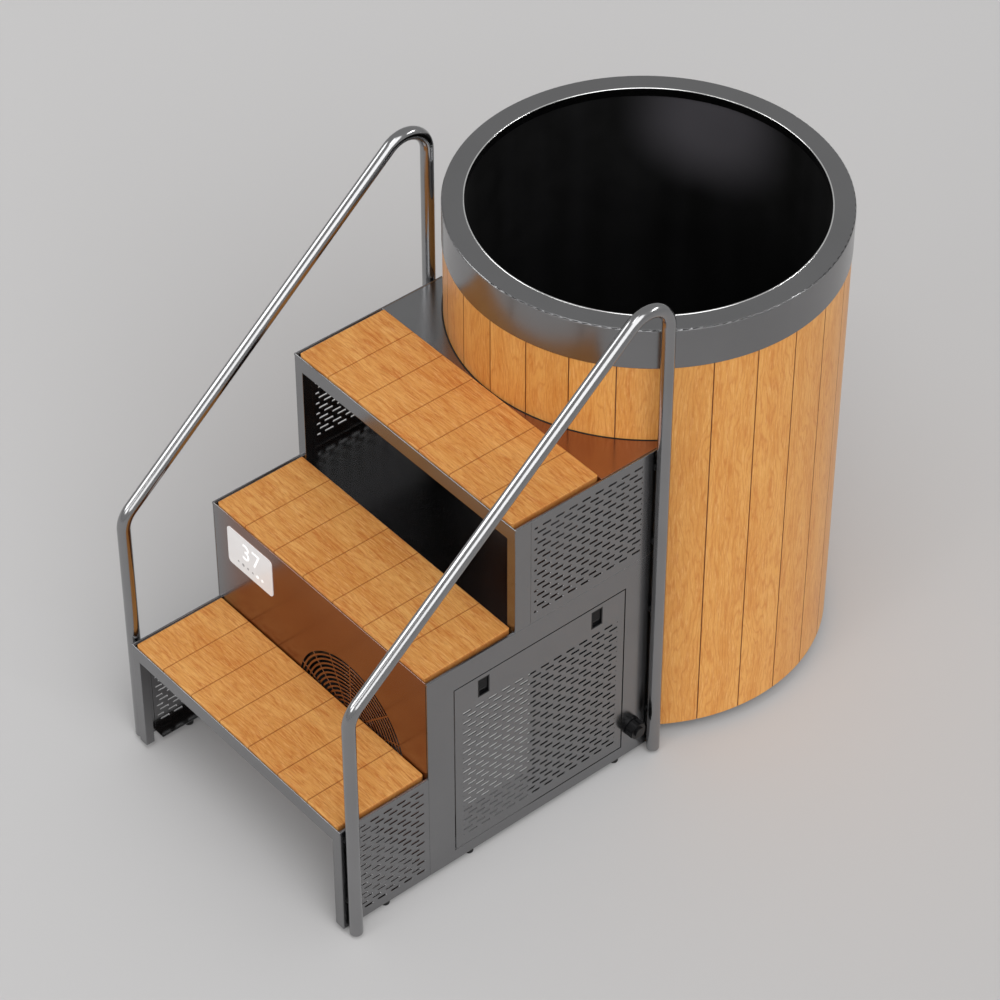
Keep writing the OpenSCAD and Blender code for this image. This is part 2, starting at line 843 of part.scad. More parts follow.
module step1_side_right() { color(steel) from_front() step1_side(); }
module step1_side_left() { color(steel) from_front() mirror([1, 0, 0]) step1_side(); }

// The pan that a tread lies in, with a low wall all round.
module tray(y0, y1, z) {
    block([-tray_half, y0, pan_z(z) - sheet_t], [tray_half, y1, pan_z(z)]);
    for (side = [0, 1]) mirror([side, 0, 0])
        block([tray_half - sheet_t, y0, pan_z(z)], [tray_half, y1, z - fold_r]);
}

module step1_tray() {
    color(steel) from_front() tray(tray_in, run - gap, rise_1);
}

// Cabinet of step two
module grille_cut() {
    translate([fan_x, fan_z]) for (i = [0 : ring_count - 1]) difference() {
        circle(grille_r - i * ring_pitch, $fn = ring_fn);
        circle(grille_r - i * ring_pitch - ring_slot, $fn = ring_fn);
        for (i = [0 : spoke_count - 1]) rotate(i * 360 / spoke_count) translate([0, -spoke_w / 2])
            square([grille_r + over, spoke_w]);
    }
}

module cabinet_front() {
    color(steel) from_front() {
        front_hem(run, rise_2, tray_half);
        sheet_y(run, sheet_t) difference() {
            translate([-tray_half, lift]) square([2 * tray_half, rise_2 - fold_r - lift]);
            grille_cut();
            translate([-screen_x, screen_z])
                square([screen_w - screen_lap + 2 * gap, screen_h - screen_lap + 2 * gap], center = true);
        }
    }
}

module rear_flange(z0, z1) {
    difference() {
        block([half_w - rear_flange_w, rear_y - sheet_t, z0], [half_w - fold_r, rear_y, z1 - hem_h]);
        tub_cut(0, tub_h, back_r + gap);
    }
}

module cabinet_side() {
    side_hem(run, rear_y, rise_2);
    corner_hem(run, lift, rise_2 - fold_r);
    rear_flange(lift, rise_2);
}

module cabinet_side_plate() {
    sheet_x(half_w - sheet_t, sheet_t) difference() {
        translate([run + fold_r, lift]) square([rear_y - run - fold_r, rise_2 - lift - fold_r]);
        children();
    }
}

module cabinet_side_right() {
    color(steel) from_front() difference() {
        union() {
            cabinet_side();
            cabinet_side_plate() {
                translate([door_y0 - door_gap, door_z - door_gap])
                    square([door_w + 2 * door_gap, door_h + 2 * door_gap]);
                translate([drain_axis, drain_z]) circle(barrel_r + gap);
            }
        }
        bolt_cuts(post_y2, bolts_rear);
    }
}

module cabinet_side_left() {
    color(steel) from_front() mirror([1, 0, 0]) difference() {
        union() {
            cabinet_side();
            cabinet_side_plate() {
                slot_rows(door_y0 + door_margin, door_y1 - door_margin_rear, lift + row_base_vent, rows_vent,
                    door_y0 + phase_door);
                translate([drain_axis, drain_z]) circle(gland_bore + gland_wall + gap);
            }
        }
        bolt_cuts(post_y2, bolts_rear);
    }
}

// The curved back, and at each end a flat wing behind the rear flange of the side.
module cabinet_back() {
    back_top = pan_z(rise_3) - sheet_t - gap;
    wing_y = rear_y - sheet_t - gap;
    color(steel) from_front() difference() {
        intersection() {
            union() {
                tub_cut(lift, back_top, back_r);
                block([-half_w, wing_y - sheet_t, lift + sheet_t + gap], [half_w, wing_y, back_top]);
            }
            block([-tray_half, step_3, lift], [tray_half, wing_y, back_top]);
        }
        tub_cut(0, tub_h, seal_r);
        block([-half_w, wing_y - sheet_t - over, rise_2 - sheet_t - gap],
            [half_w, wing_y + over, rise_2 + gap]);
        for (z = [suction_z, return_z]) bar_y(step_3, tub_y, 0, z, barrel_r + gap);
    }
}

module cabinet_base() {
    color(steel) from_front() difference() {
        block([-half_w + sheet_t + gap, run + sheet_t + gap, lift],
            [half_w - sheet_t - gap, rear_y - sheet_t - gap, lift + sheet_t]);
        tub_cut(0, tub_h, back_r + gap);
        for (side = [-1, 1]) block([side * half_w - hem_w - gap, run, 0],
            [side * half_w + hem_w + gap, run + hem_h + gap, lift + sheet_t + over]);
    }
}

module cabinet_top() {
    color(steel) from_front() {
        tray(run + tray_in, step_3 + sheet_t, rise_2);
        block([-tray_half, step_3, pan_z(rise_2) - sheet_t], [tray_half, step_3 + sheet_t, rise_2]);
        difference() {
            block([-tray_half, step_3, rise_2 - sheet_t], [tray_half, rear_y - sheet_t - gap, rise_2]);
            tub_cut(0, tub_h, back_r + gap);
        }
    }
}

// Step three
module step3_frame() {
    color(steel) from_front() open_front(step_3, rise_2 + gap, rise_3);
}

module step3_side() {
    y0 = step_3 + leg_d + gap;
    z0 = rise_2 + gap;
    difference() {
        union() {
            side_hem(y0, rear_y, rise_3);
            sheet_x(half_w - sheet_t, sheet_t) difference() {
                translate([y0, z0]) square([rear_y - y0, rise_3 - z0 - fold_r]);
                slot_rows(y0 + field_front, rear_y - field_rear_3, z0 + row_base, rows_3, step_3 + phase_3);
            }
        }
        bolt_cuts(post_y2, bolts_rear);
    }
    rear_flange(z0, rise_3);
}

module step3_side_right() { color(steel) from_front() step3_side(); }
module step3_side_left() { color(steel) from_front() mirror([1, 0, 0]) step3_side(); }

module deck() {
    shelf_y = step_3 + tread_set + tread_d + gap;
    color(steel) from_front() difference() {
        union() {
            tray(step_3 + tray_in, shelf_y + sheet_t, rise_3);
            block([-tray_half, shelf_y, pan_z(rise_3) - sheet_t], [tray_half, shelf_y + sheet_t, rise_3]);
            block([-tray_half, shelf_y, rise_3 - sheet_t], [tray_half, rear_y, rise_3]);
        }
        tub_cut(0, tub_h, seal_r);
    }
}

module deck_seal() {
    color(rubber) from_front() intersection() {
        difference() {
            tub_cut(rise_3 - hem_h, rise_3 + over, seal_r);
            tub_cut(0, tub_h, stave_r + gap);
        }
        block([-tray_half, step_3, 0], [tray_half, rear_y, tub_h]);
    }
}

// Access door, its hinges and its latches
module access_door() {
    color(steel) from_front() difference() {
        union() {
            sheet_x(half_w - sheet_t, sheet_t) difference() {
                translate([door_y0, door_z]) square([door_w, door_h]);
                slot_rows(door_y0 + door_margin, door_y1 - door_margin_rear, lift + row_base_door, rows_door,
                    door_y0 + phase_door);
                for (y = latch_ys) translate([y, latch_z]) square([latch_w, latch_h]);
            }
            for (y = [door_y0, door_y1 - sheet_t])
                block([half_w - door_fold, y, door_z], [half_w - sheet_t, y + sheet_t, door_top]);
            block([half_w - door_fold, door_y0, door_top - sheet_t], [half_w - sheet_t, door_y1, door_top]);
        }
        bar_y(door_y0 - over, door_y1 + over, pin_x, pin_z, pin_r + fit);
        for (y = latch_ys) latch_tongue(y, latch_z + latch_h, door_top + over, gap);
    }
}

// A hinge at the front of the door: a bracket inside the side panel with a fixed pin.
module hinge(y) {
    half = pin_in - sheet_t;
    block([pin_x - half, y - hinge_w, door_z - door_gap - hinge_drop], [pin_x + half, y, pin_z + half]);
    bar_y(y, y + pin_l, pin_x, pin_z, pin_r);
}

module door_hinges() {
    color(bright) from_front() {
        hinge(door_y0 - door_gap - gap);
        translate([0, door_y0 + door_y1, 0]) mirror([0, 1, 0]) hinge(door_y0 - door_gap - gap);
    }
}

// The tongue of a latch, or with a clearance the slot that it runs in.
module latch_tongue(y, z0, z1, clear) {
    x = half_w - latch_depth / 2;
    side = 3 * latch_rim - clear;
    block([x - tongue_t - clear, y + side, z0], [x + gap, y + latch_w - side, z1]);
}

// The black housings of the latches, open at their fronts.
module latch_housings() {
    r = latch_rim;
    color(black) from_front() for (y = latch_ys) difference() {
        block([half_w - latch_depth, y + gap, latch_z + gap],
            [half_w, y + latch_w - gap, latch_z + latch_h - gap]);
        block([half_w - latch_depth / 2, y + r, latch_z + r],
            [half_w + over, y + latch_w - r, latch_z + latch_h - r]);
        latch_tongue(y, latch_z + 2 * r, latch_z + latch_h, gap);
    }
}

// The slider of one latch: a ribbed thumb pad and its tongue.
module latch_slider(y) {
    pad_x = half_w - latch_depth / 2 + gap;
    pad_z = latch_z + latch_rim + latch_travel + pad_room;
    pad_top = latch_z + latch_h - latch_rim - pad_room;
    rib = (pad_top - pad_z) / (2 * rib_count + 1);
    color(black) from_front() {
        block([pad_x, y + latch_rim + gap, pad_z], [pad_x + pad_t, y + latch_w - latch_rim - gap, pad_top]);
        for (i = [0 : rib_count - 1])
            block([pad_x + pad_t, y + 2 * latch_rim, pad_z + (2 * i + 1) * rib],
                [pad_x + pad_t + over, y + latch_w - 2 * latch_rim, pad_z + (2 * i + 2) * rib]);
        latch_tongue(y, pad_z + rib, door_top + door_gap + tongue_over, 0);
    }
}

module latch_left() { latch_slider(latch_ys[0]); }
module latch_right() { latch_slider(latch_ys[1]); }

// Control panel and the electrics behind it
module control_panel() {
    color(white) from_front() translate([-screen_x, 0, screen_z]) {
        sheet_y(run - screen_t, screen_t) round_rect(screen_w, screen_h, screen_r);
        sheet_y(run, screen_body) square([screen_w - screen_lap, screen_h - screen_lap], center = true);
    }
}

module control_box() {
    x0 = -half_w + sheet_t + gap;
    x1 = x0 + box_d;
    y0 = run + box_y;
    y1 = y0 + box_l;
    z1 = box_z + box_h;
    color(black) from_front() {
        difference() {
            block([x0, y0, box_z], [x1, y1, z1]);
            block([x0 + box_wall, y0 + box_wall, box_z + box_wall],
                [x1 + over, y1 - box_wall, z1 - box_wall]);
        }
        block([x1, y0, box_z], [x1 + box_wall, y1, z1]);
        for (i = [1 : 3])
            bar_z(box_z - box_gland_r, box_z + box_wall / 2, (x0 + x1) / 2, y0 + i * box_l / 4, box_gland_r);
    }
}

// Handrails, drawn in the plane of the tube: u is back, v is up
// The round section of the tube, thicker by a weld at its joints.
module tube_section(weld = 0) {
    difference() {
        circle(rail_r + weld);
        circle(rail_in - weld);
    }
}

// A straight length of tube, or a weld across a joint, along the way a.
module tube(u, v, a, length, weld = 0) {
    translate([u, v, 0]) rotate([0, 90, a]) linear_extrude(length) tube_section(weld);
}

module bend(u, v, radius, a0, a1) {
    translate([u, v, 0]) rotate([0, 0, a0]) rotate_extrude(angle = a1 - a0)
        translate([radius, 0]) tube_section();
}

// A weld bead across the joint at u, v.
module weld(u, v, a) {
    half = weld_w / 2;
    tube(u - half * cos(a), v - half * sin(a), a, weld_w, weld_proud);
}

module rail_run() {
    low_v = bend_z - lower_drop;
    tube(post_y1, tube_z, 90, low_v - tube_z);
    bend(post_y1 + lower_bend, low_v, lower_bend, 90 + slope_angle, 180);
    tube(slope_u0, slope_v0, slope_angle, slope_l);
    bend(upper_u, upper_v, upper_bend, 0, upper_turn);
    tube(post_y2, tube_z, 90, upper_v - tube_z);
    weld(post_y1, low_v, 90);
    weld(slope_u0, slope_v0, slope_angle);
    weld(slope_u0 + slope_l * cos(slope_angle), slope_v0 + slope_l * sin(slope_angle), slope_angle);
    weld(post_y2, upper_v, 90);
}

module handrail() {
    difference() {
        translate([rail_x, 0, 0]) rotate([90, 0, 90]) rail_run();
        for (z = bolts_front) rail_holes(post_y1, z);
        for (z = bolts_rear) rail_holes(post_y2, z);
    }
}

module rail_holes(y, z) {
    bar_x(rail_x - rail_r - over, rail_x, y, z, bolt_r + bolt_fit);
    bar_x(rail_x, rail_x + rail_r + over, y, z, tool_r);
}

module handrail_right() { color(bright) from_front() handrail(); }
module handrail_left() { color(bright) from_front() mirror([1, 0, 0]) handrail(); }

// Repeats a piece at every bolt of both handrails, with Z along the bolt from the middle outwards.
module at_bolts() {
    for (side = [0, 1]) mirror([side, 0, 0]) {
        for (z = bolts_front) translate([0, post_y1, z]) rotate([0, 90, 0]) children();
        for (z = bolts_rear) translate([0, post_y2, z]) rotate([0, 90, 0]) children();
    }
}

module rail_caps() {
    color(bright) from_front() for (side = [-1, 1], y = [post_y1, post_y2]) translate([side * rail_x, y, post_z]) {
        rotate_extrude() {
            translate([0, cap_edge]) square([rail_r, cap_h - cap_edge]);
            square([rail_r - cap_edge, cap_edge]);
            translate([rail_r - cap_edge, cap_edge]) circle(cap_edge);
        }
        translate([0, 0, cap_h]) cylinder(h = cap_plug, r = rail_in - bolt_fit);
    }
}

module rail_spacers() {
    color(black) from_front() at_bolts() translate([0, 0, half_w + tiny]) difference() {
        cylinder(h = spacer_t - 2 * tiny, r = spacer_r);
        translate([0, 0, -over]) cylinder(h = spacer_t + 2 * over, r = bolt_r + bolt_fit);
    }
}

module rail_bolts() {
    tail_z = half_w - sheet_t - bolt_tail;
    color(black) from_front() at_bolts() {
        translate([0, 0, tail_z]) cylinder(h = bolt_seat - tail_z, r = bolt_r);
        translate([0, 0, bolt_seat]) difference() {
            cylinder(h = bolt_head_h, r = bolt_head_r);
            translate([0, 0, bolt_head_h / 2]) cylinder(h = bolt_head_h, r = socket_r, $fn = 6);
        }
    }
}

module rail_nuts() {
    color(bright) from_front() at_bolts() translate([0, 0, half_w - sheet_t - nut_h - tiny]) difference() {
        cylinder(h = nut_h, r = nut_r, $fn = 6);
        translate([0, 0, -over]) cylinder(h = nut_h + 2 * over, r = bolt_r + fit);
    }
}

// Rubber feet under the cabinet and rubber pads under the plinth of the tub
module rubber_feet() {
    color(rubber) from_front() {
        for (side = [-1, 1], y = feet_y) bar_z(0, lift - tiny, side * (half_w - foot_r - foot_in), y, foot_r);
        translate([0, tub_y, 0]) for (i = [0 : pad_count - 1]) rotate(i * 360 / pad_count)
            bar_z(0, pad_h - tiny, plinth_r - plinth_w / 2, 0, pad_r);
    }
}

// Tub
module tub_staves() {
    pitch = 360 / stave_count;
    gap_angle = seam_gap / stave_r * 180 / PI;
    seam_angle = seam_w / stave_r * 180 / PI;
    color(oak) from_front() difference() {
        for (i = [0 : stave_count - 1]) translate([0, tub_y, stave_z]) rotate(-90 + i * pitch) {
            rotate(gap_angle / 2) rotate_extrude(angle = pitch - gap_angle)
                translate([stave_in, 0]) square([stave_t - seam_depth, rim_z - gap - stave_z]);
            rotate(seam_angle / 2) rotate_extrude(angle = pitch - seam_angle)
                translate([stave_r - seam_depth, 0]) square([seam_depth, rim_z - gap - stave_z]);
        }
        fitting_cuts();
    }
}

// A ring or cup turned round the tub's axis.
module turned() {
    translate([0, tub_y, 0]) rotate_extrude($fn = round_fn) children();
}

// Cuts the holes of the two wall fittings.
module fitting_cuts() {
    for (z = [suction_z, return_z]) bar_y(nozzle_y, tub_y, 0, z, barrel_r + gap);
}

// The flat top of the rim with its inner lip and its round outer edge
module rim_top() {
    in_r = rim_r - rim_w;
    edge_z = tub_h - rim_edge;
    color(steel) from_front() turned() {
        translate([in_r, rim_z]) square([rim_w - rim_edge, rim_t]);
        translate([in_r, tub_h - lip_h]) square([rim_t, lip_h]);
        difference() {
            intersection() {
                translate([rim_r - rim_edge, edge_z]) circle(rim_edge);
                translate([rim_r - rim_edge, edge_z]) square(rim_edge);
            }
            translate([in_r, 0]) square([rim_w - rim_t, rim_z]);
        }
    }
}

// The outer band, welded under the round edge
module rim_band() {
    color(steel) from_front() turned()
        translate([rim_r - rim_t, tub_h - band_h]) square([rim_t, band_h - rim_edge - tiny]);
}

// The wall of the liner with the flange that hangs on the staves
module liner_wall() {
    top = rim_z - gap;
    low = liner_seam + tiny;
    color(black) from_front() difference() {
        turned() {
            translate([liner_in, low]) square([liner_t, top - low]);
            translate([liner_in, top - liner_t]) square([stave_in - gap - liner_in, liner_t]);
        }
        fitting_cuts();
    }
}

// The section of a cup: radius, underside, top and radius of the corner.
module cup_section(r, z0, z1, corner) {
    translate([0, z0]) square([r - corner, z1 - z0]);
    translate([0, z0 + corner]) square([r, z1 - z0 - corner]);
    translate([r - corner, z0 + corner]) intersection() {
        circle(corner);
        translate([0, -corner]) square(corner);
    }
}

// The floor of the liner, coved up to the wall
module liner_floor() {
    color(black) from_front() turned() difference() {
        cup_section(liner_out, liner_z, liner_seam, liner_cove + liner_t);
        cup_section(liner_in, liner_z + liner_t, liner_seam + over, liner_cove);
    }
}

module tub_insulation() {
    top = rim_z - gap - liner_t - gap;
    color(foam) from_front() difference() {
        turned() difference() {
            translate([0, stave_z]) square([stave_in - gap, top - stave_z]);
            translate([0, liner_z - gap]) square([liner_out + gap, top]);
        }
        fitting_cuts();
    }
}

// The base disc under the staves and the plinth ring that carries it
module tub_base() {
    disc_z = stave_z - gap - base_t;
    color(black) from_front() turned() {
        translate([plinth_r - plinth_w, pad_h]) square([plinth_w, disc_z + base_t / 2 - pad_h]);
        translate([0, disc_z]) square([stave_r - base_in, base_t]);
    }
}

// A wall fitting: a flange inside the liner, a barrel through the wall, a nut and a nozzle.
module wall_fitting(z) {
    bar_y(nut_y - fitting_nut_t, flange_y, 0, z, barrel_r);
    bar_y(flange_y, flange_y + flange_t, 0, z, flange_r);
    bar_y(nut_y - fitting_nut_t, nut_y, 0, z, barrel_r + fitting_nut_w);
    bar_y(nozzle_y, nut_y - fitting_nut_t, 0, z, nozzle_r);
}

module suction_fitting() {
    color(black) from_front() difference() {
        wall_fitting(suction_z);
        bar_y(nozzle_y - over, flange_y + flange_t / 2, 0, suction_z, pipe_bore);
        for (a = [0 : 45 : 315]) translate([0, 0, suction_z]) rotate([0, a, 0])
            bar_y(flange_y + over, flange_y + flange_t + over, 0, pipe_bore - strainer_r - gap, strainer_r);
    }
}

module return_fitting() {
    color(black) from_front() difference() {
        wall_fitting(return_z);
        bar_y(nozzle_y - over, flange_y + flange_t + over, 0, return_z, pipe_bore);
    }
}

// Drain: a flange, a barrel through the side, a nut and a nozzle at each end
module drain_fitting() {
    nut_x = half_w - drain_nut;
    out_x = half_w + drain_t;
    in_x = drain_turn_x + hose_bend + over;
    color(black) from_front() difference() {
        union() {
            bar_x(nut_x, out_x, drain_axis, drain_z, barrel_r);
            bar_x(half_w + tiny, out_x, drain_axis, drain_z, drain_r);
            translate([nut_x, drain_axis, drain_z]) rotate([0, 90, 0])
                cylinder(h = drain_nut - sheet_t - tiny, r = drain_r, $fn = 6);
            bar_x(in_x, nut_x, drain_axis, drain_z, nozzle_r);
            bar_x(out_x, out_x + drain_spout, drain_axis, drain_z, nozzle_r);
        }
        bar_x(in_x - over, out_x + drain_spout + over, drain_axis, drain_z, pipe_bore);
    }
}

module drain_cap() {
    body_r = cap_r - grip_r;
    x = half_w + drain_t + gap;
    color(black) from_front() translate([x, drain_axis, drain_z]) rotate([0, 90, 0]) difference() {
        union() {
            cylinder(h = cap_l, r = body_r);
            for (i = [0 : grip_count - 1]) rotate(i * 360 / grip_count)
                translate([body_r, 0, grip_r]) cylinder(h = cap_l - 2 * grip_r, r = grip_r, $fn = small_fn);
            cylinder(h = cap_l + 2 * cap_wall, r = pipe_bore + over);
        }
        translate([0, 0, -over]) cylinder(h = cap_l - cap_wall + over, r = nozzle_r + gap);
    }
}

// A straight hose along X or Y
module hose_x(x0, x1, y, z) {
    difference() {
        bar_x(x0, x1, y, z, hose_r);
        bar_x(x0 - over, x1 + over, y, z, hose_bore);
    }
}

module hose_y(y0, y1, x, z) {
    difference() {
        bar_y(y0, y1, x, z, hose_r);
        bar_y(y0 - over, y1 + over, x, z, hose_bore);
    }
}

// A quarter turn of a hose in the level plane
module hose_turn(x, y, a, r) {
    translate([x, y, drain_z]) rotate(a) rotate_extrude(angle = 90) translate([hose_bend, 0]) circle(r);
}

module drain_route(r, past) {
    y0 = manifold_y + hose_bend;
    y1 = drain_axis - hose_bend;
    bar_x(branch_l - manifold_r - past, drain_turn_x - hose_bend, manifold_y, drain_z, r);
    hose_turn(drain_turn_x - hose_bend, y0, -90, r);
    bar_y(y0, y1, drain_turn_x, drain_z, r);
    hose_turn(drain_turn_x + hose_bend, y1, 90, r);
    bar_x(drain_turn_x + hose_bend, drain_turn_x + hose_bend + hose_lap + past, drain_axis, drain_z, r);
}

module drain_hose() {
    color(rubber) from_front() difference() {
        drain_route(hose_r, 0);
        drain_route(hose_bore, over);
    }
}

module suction_manifold() {
    foot_top = cabinet_floor + foot_flange;
    color(black) from_front() {
        bar_z(cabinet_floor, foot_top, 0, manifold_y, manifold_foot_r);
        bar_z(foot_top, suction_z + manifold_over, 0, manifold_y, manifold_r);
        bar_y(manifold_y, (manifold_y + nozzle_y) / 2 + hose_lap, 0, suction_z, nozzle_r);
        bar_x(0, branch_l, manifold_y, drain_z, nozzle_r);
        bar_x(-branch_l, 0, manifold_y, pump_z, nozzle_r);
    }
}

// The hose from the pump up and over to the filter
module filter_route(r, past) {
    bar_z(pump_z + pump_outlet - hose_lap - past, port_z - filter_bend, pump_x, manifold_y, r);
    translate([pump_x, manifold_y - filter_bend, port_z - filter_bend]) rotate([90, 0, 90])
        rotate_extrude(angle = 90) translate([filter_bend, 0]) circle(r);
    bar_y(filter_y + port_l - hose_lap - past, manifold_y - filter_bend, pump_x, port_z, r);
}

// All other hoses: from the manifold to the tub and the pump, and on through filter and evaporator
module water_hoses() {
    color(rubber) from_front() {
        hose_y(manifold_y + manifold_r + gap, nozzle_y + 2 * hose_lap, 0, suction_z);
        hose_x(pump_x + volute_w / 2 + hose_lap, -manifold_r - gap, manifold_y, pump_z);
        difference() {
            filter_route(hose_r, 0);
            filter_route(hose_bore, over);
        }
        hose_x(pump_x + port_l - hose_lap, casing_x0 - over, filter_y, inlet_z);
        hose_y(casing_y1 + over, nozzle_y + 2 * hose_lap, 0, return_z);
    }
}

// Circulation pump: motor, volute, inlet, outlet and foot
module pump() {
    y = manifold_y;
    half = volute_w / 2;
    color(black) from_front() difference() {
        union() {
            bar_x(pump_x - half - pump_motor_l, pump_x - half, y, pump_z, pump_motor_r);
            bar_x(pump_x - half, pump_x + half, y, pump_z, volute_r);
            bar_x(pump_x + half, pump_x + half + pump_inlet, y, pump_z, nozzle_r);
            bar_z(pump_z + pump_motor_r, pump_z + pump_outlet, pump_x, y, nozzle_r);
            block([pump_x - half - volute_wall - pump_foot_w, y - pump_foot_w / 2, cabinet_floor],
                [pump_x - half - volute_wall, y + pump_foot_w / 2, pump_z - pump_motor_r / 2]);
        }
        bar_x(pump_x - half + volute_wall, pump_x + half - volute_wall, y, pump_z, volute_r - volute_wall);
        bar_x(pump_x, pump_x + half + pump_inlet + over, y, pump_z, pipe_bore);
        bar_z(pump_z, pump_z + pump_outlet + over, pump_x, y, pipe_bore);
        bar_x(pump_x - half - impeller_r, pump_x, y, pump_z, shaft_r + fit);
    }
}

module pump_impeller() {
    disc_x = pump_x - volute_w / 2 + volute_wall + over;
    vane_x = disc_x + disc_t - tiny;
    tip_x = pump_x + volute_w / 2 - volute_wall - over;
    color(white) from_front() {
        bar_x(disc_x, disc_x + disc_t, manifold_y, pump_z, impeller_r);
        bar_x(disc_x - impeller_r, tip_x, manifold_y, pump_z, shaft_r);
        for (i = [0 : vane_count - 1]) translate([0, manifold_y, pump_z]) rotate([i * 360 / vane_count, 0, 0])
            block([vane_x, -vane_t / 2, shaft_r / 2], [tip_x, vane_t / 2, impeller_r - over]);
    }
}

// Filter: housing, cartridge and a turning lid
module filter_housing() {
    color(black) from_front() difference() {
        union() {
            bar_z(filter_z, filter_top, pump_x, filter_y, filter_r);
            bar_z(cabinet_floor, filter_z, pump_x, filter_y, filter_foot_r);
            bar_y(filter_y, filter_y + port_l, pump_x, port_z, nozzle_r);
            bar_x(pump_x, pump_x + port_l, filter_y, inlet_z, nozzle_r);
        }
        bar_z(filter_z + filter_wall, filter_top + over, pump_x, filter_y, filter_r - filter_wall);
        bar_y(filter_y, filter_y + port_l + over, pump_x, port_z, pipe_bore);
        bar_x(pump_x, pump_x + port_l + over, filter_y, inlet_z, pipe_bore);
    }
}

module filter_cartridge() {
    floor_z = filter_z + filter_wall;
    color(white) from_front() difference() {
        bar_z(floor_z + tiny, filter_top - lid_skirt, pump_x, filter_y, cartridge_r);
        bar_z(floor_z + filter_wall, filter_top, pump_x, filter_y, cartridge_in);
    }
}

module filter_lid() {
    lid_r = filter_r + gap + lid_wall;
    lid_z = filter_top + gap + 2 * lid_wall;
    color(rubber) from_front() translate([pump_x, filter_y, 0]) {
        difference() {
            bar_z(filter_top - lid_skirt, lid_z, 0, 0, lid_r);
            bar_z(filter_top - lid_skirt - over, filter_top + gap, 0, 0, filter_r + gap);
        }
        for (a = [0 : 45 : 315]) rotate(a)
            bar_z(filter_top - lid_skirt + lid_rib_r, lid_z - lid_rib_r, lid_r, 0, lid_rib_r);
        block([-handle_l / 2, -handle_w / 2, lid_z - over], [handle_l / 2, handle_w / 2, lid_z + handle_w]);
    }
}

// Chiller: a white casing with fan, condenser, compressor and evaporator
module chiller_casing() {
    t = casing_t;
    feet_x = [casing_x0 + casing_foot_in, casing_x1 - casing_foot_in];
    feet_z = [casing_y0 + casing_foot_in, casing_y1 - casing_foot_in];
    color(white) from_front() {
        difference() {
            block([casing_x0, casing_y0, casing_z], [casing_x1, casing_y1, casing_top]);
            block([casing_x0 + t, casing_y0 - over, casing_z + t],
                [casing_x1 - t, casing_y1 - t, casing_top - t]);
            bar_x(casing_x0 - over, casing_x0 + t + over, filter_y, inlet_z, nozzle_r + gap);
            bar_y(casing_y1 - t - over, casing_y1 + over, 0, return_z, nozzle_r + gap);
        }
        for (x = feet_x, y = feet_z) bar_z(cabinet_floor, casing_z, x, y, casing_foot_r);
    }
}

module evaporator() {
    color(bright) from_front() {
        bar_z(casing_floor, evaporator_top, 0, filter_y, evaporator_r);
        bar_x(casing_x0 - 2 * hose_lap, 0, filter_y, inlet_z, nozzle_r);
        bar_y(filter_y, casing_y1 + 2 * hose_lap, 0, return_z, nozzle_r);
    }
}

module compressor() {
    plate_z = casing_z + compressor_z - mount_t / 2;
    shell_z = casing_z + compressor_z;
    shell_top = shell_z + compressor_h;
    half = mount_pad_r + mount_t;
    color(black) from_front() translate([compressor_x, compressor_y, 0]) {
        rotate_extrude() cup_section(compressor_r, shell_z, shell_top, compressor_round);
        bar_z(shell_top - compressor_round, shell_top + 2 * pipe_r, 0, 0, compressor_lid_r);
        for (i = [0 : 3]) rotate(45 + i * 90) {
            block([mount_r / 2, -half, plate_z], [mount_r + half, half, plate_z + mount_t]);
            bar_z(casing_floor, shell_z, mount_r, 0, mount_pad_r);
        }
    }
}

module condenser() {
    x0 = casing_x0 + condenser_room;
    x1 = casing_x1 - condenser_room;
    z0 = casing_z + condenser_room;
    z1 = casing_top - condenser_room;
    mid_y = (condenser_y0 + condenser_y1) / 2;
    color(aluminium) from_front() {
        for (x = [x0, x1 - 2 * fin_t])
            block([x, condenser_y0, casing_floor], [x + 2 * fin_t, condenser_y1, z1]);
        for (x = [x0 + fin_pitch : fin_pitch : x1 - fin_pitch])
            block([x, condenser_y0, z0], [x + fin_t, condenser_y1, z1]);
        for (i = [0 : tube_count - 1])
            bar_x(x0, x1, mid_y, z0 + tube_pitch / 2 + i * tube_pitch, tube_r);
    }
}

// Copper pipes: from the compressor's lid to the condenser, and from the evaporator to the compressor
module refrigerant_pipes() {
    lid_z = casing_z + compressor_z + compressor_h + 2 * pipe_r;
    reach = compressor_y - filter_y - pipe_r;
    shell_x = compressor_x - sqrt(compressor_r * compressor_r - reach * reach) - gap;
    color(copper) from_front() {
        bar_z(lid_z + tiny, pipe_z - pipe_bend, compressor_x, compressor_y, pipe_r);
        translate([compressor_x, compressor_y - pipe_bend, pipe_z - pipe_bend]) rotate([90, 0, 90])
            rotate_extrude(angle = 90) translate([pipe_bend, 0]) circle(pipe_r);
        bar_y(condenser_y1 + tiny, compressor_y - pipe_bend, compressor_x, pipe_z, pipe_r);
        bar_x(evaporator_r + tiny, shell_x, filter_y, pipe_low_z, pipe_r);
    }
}

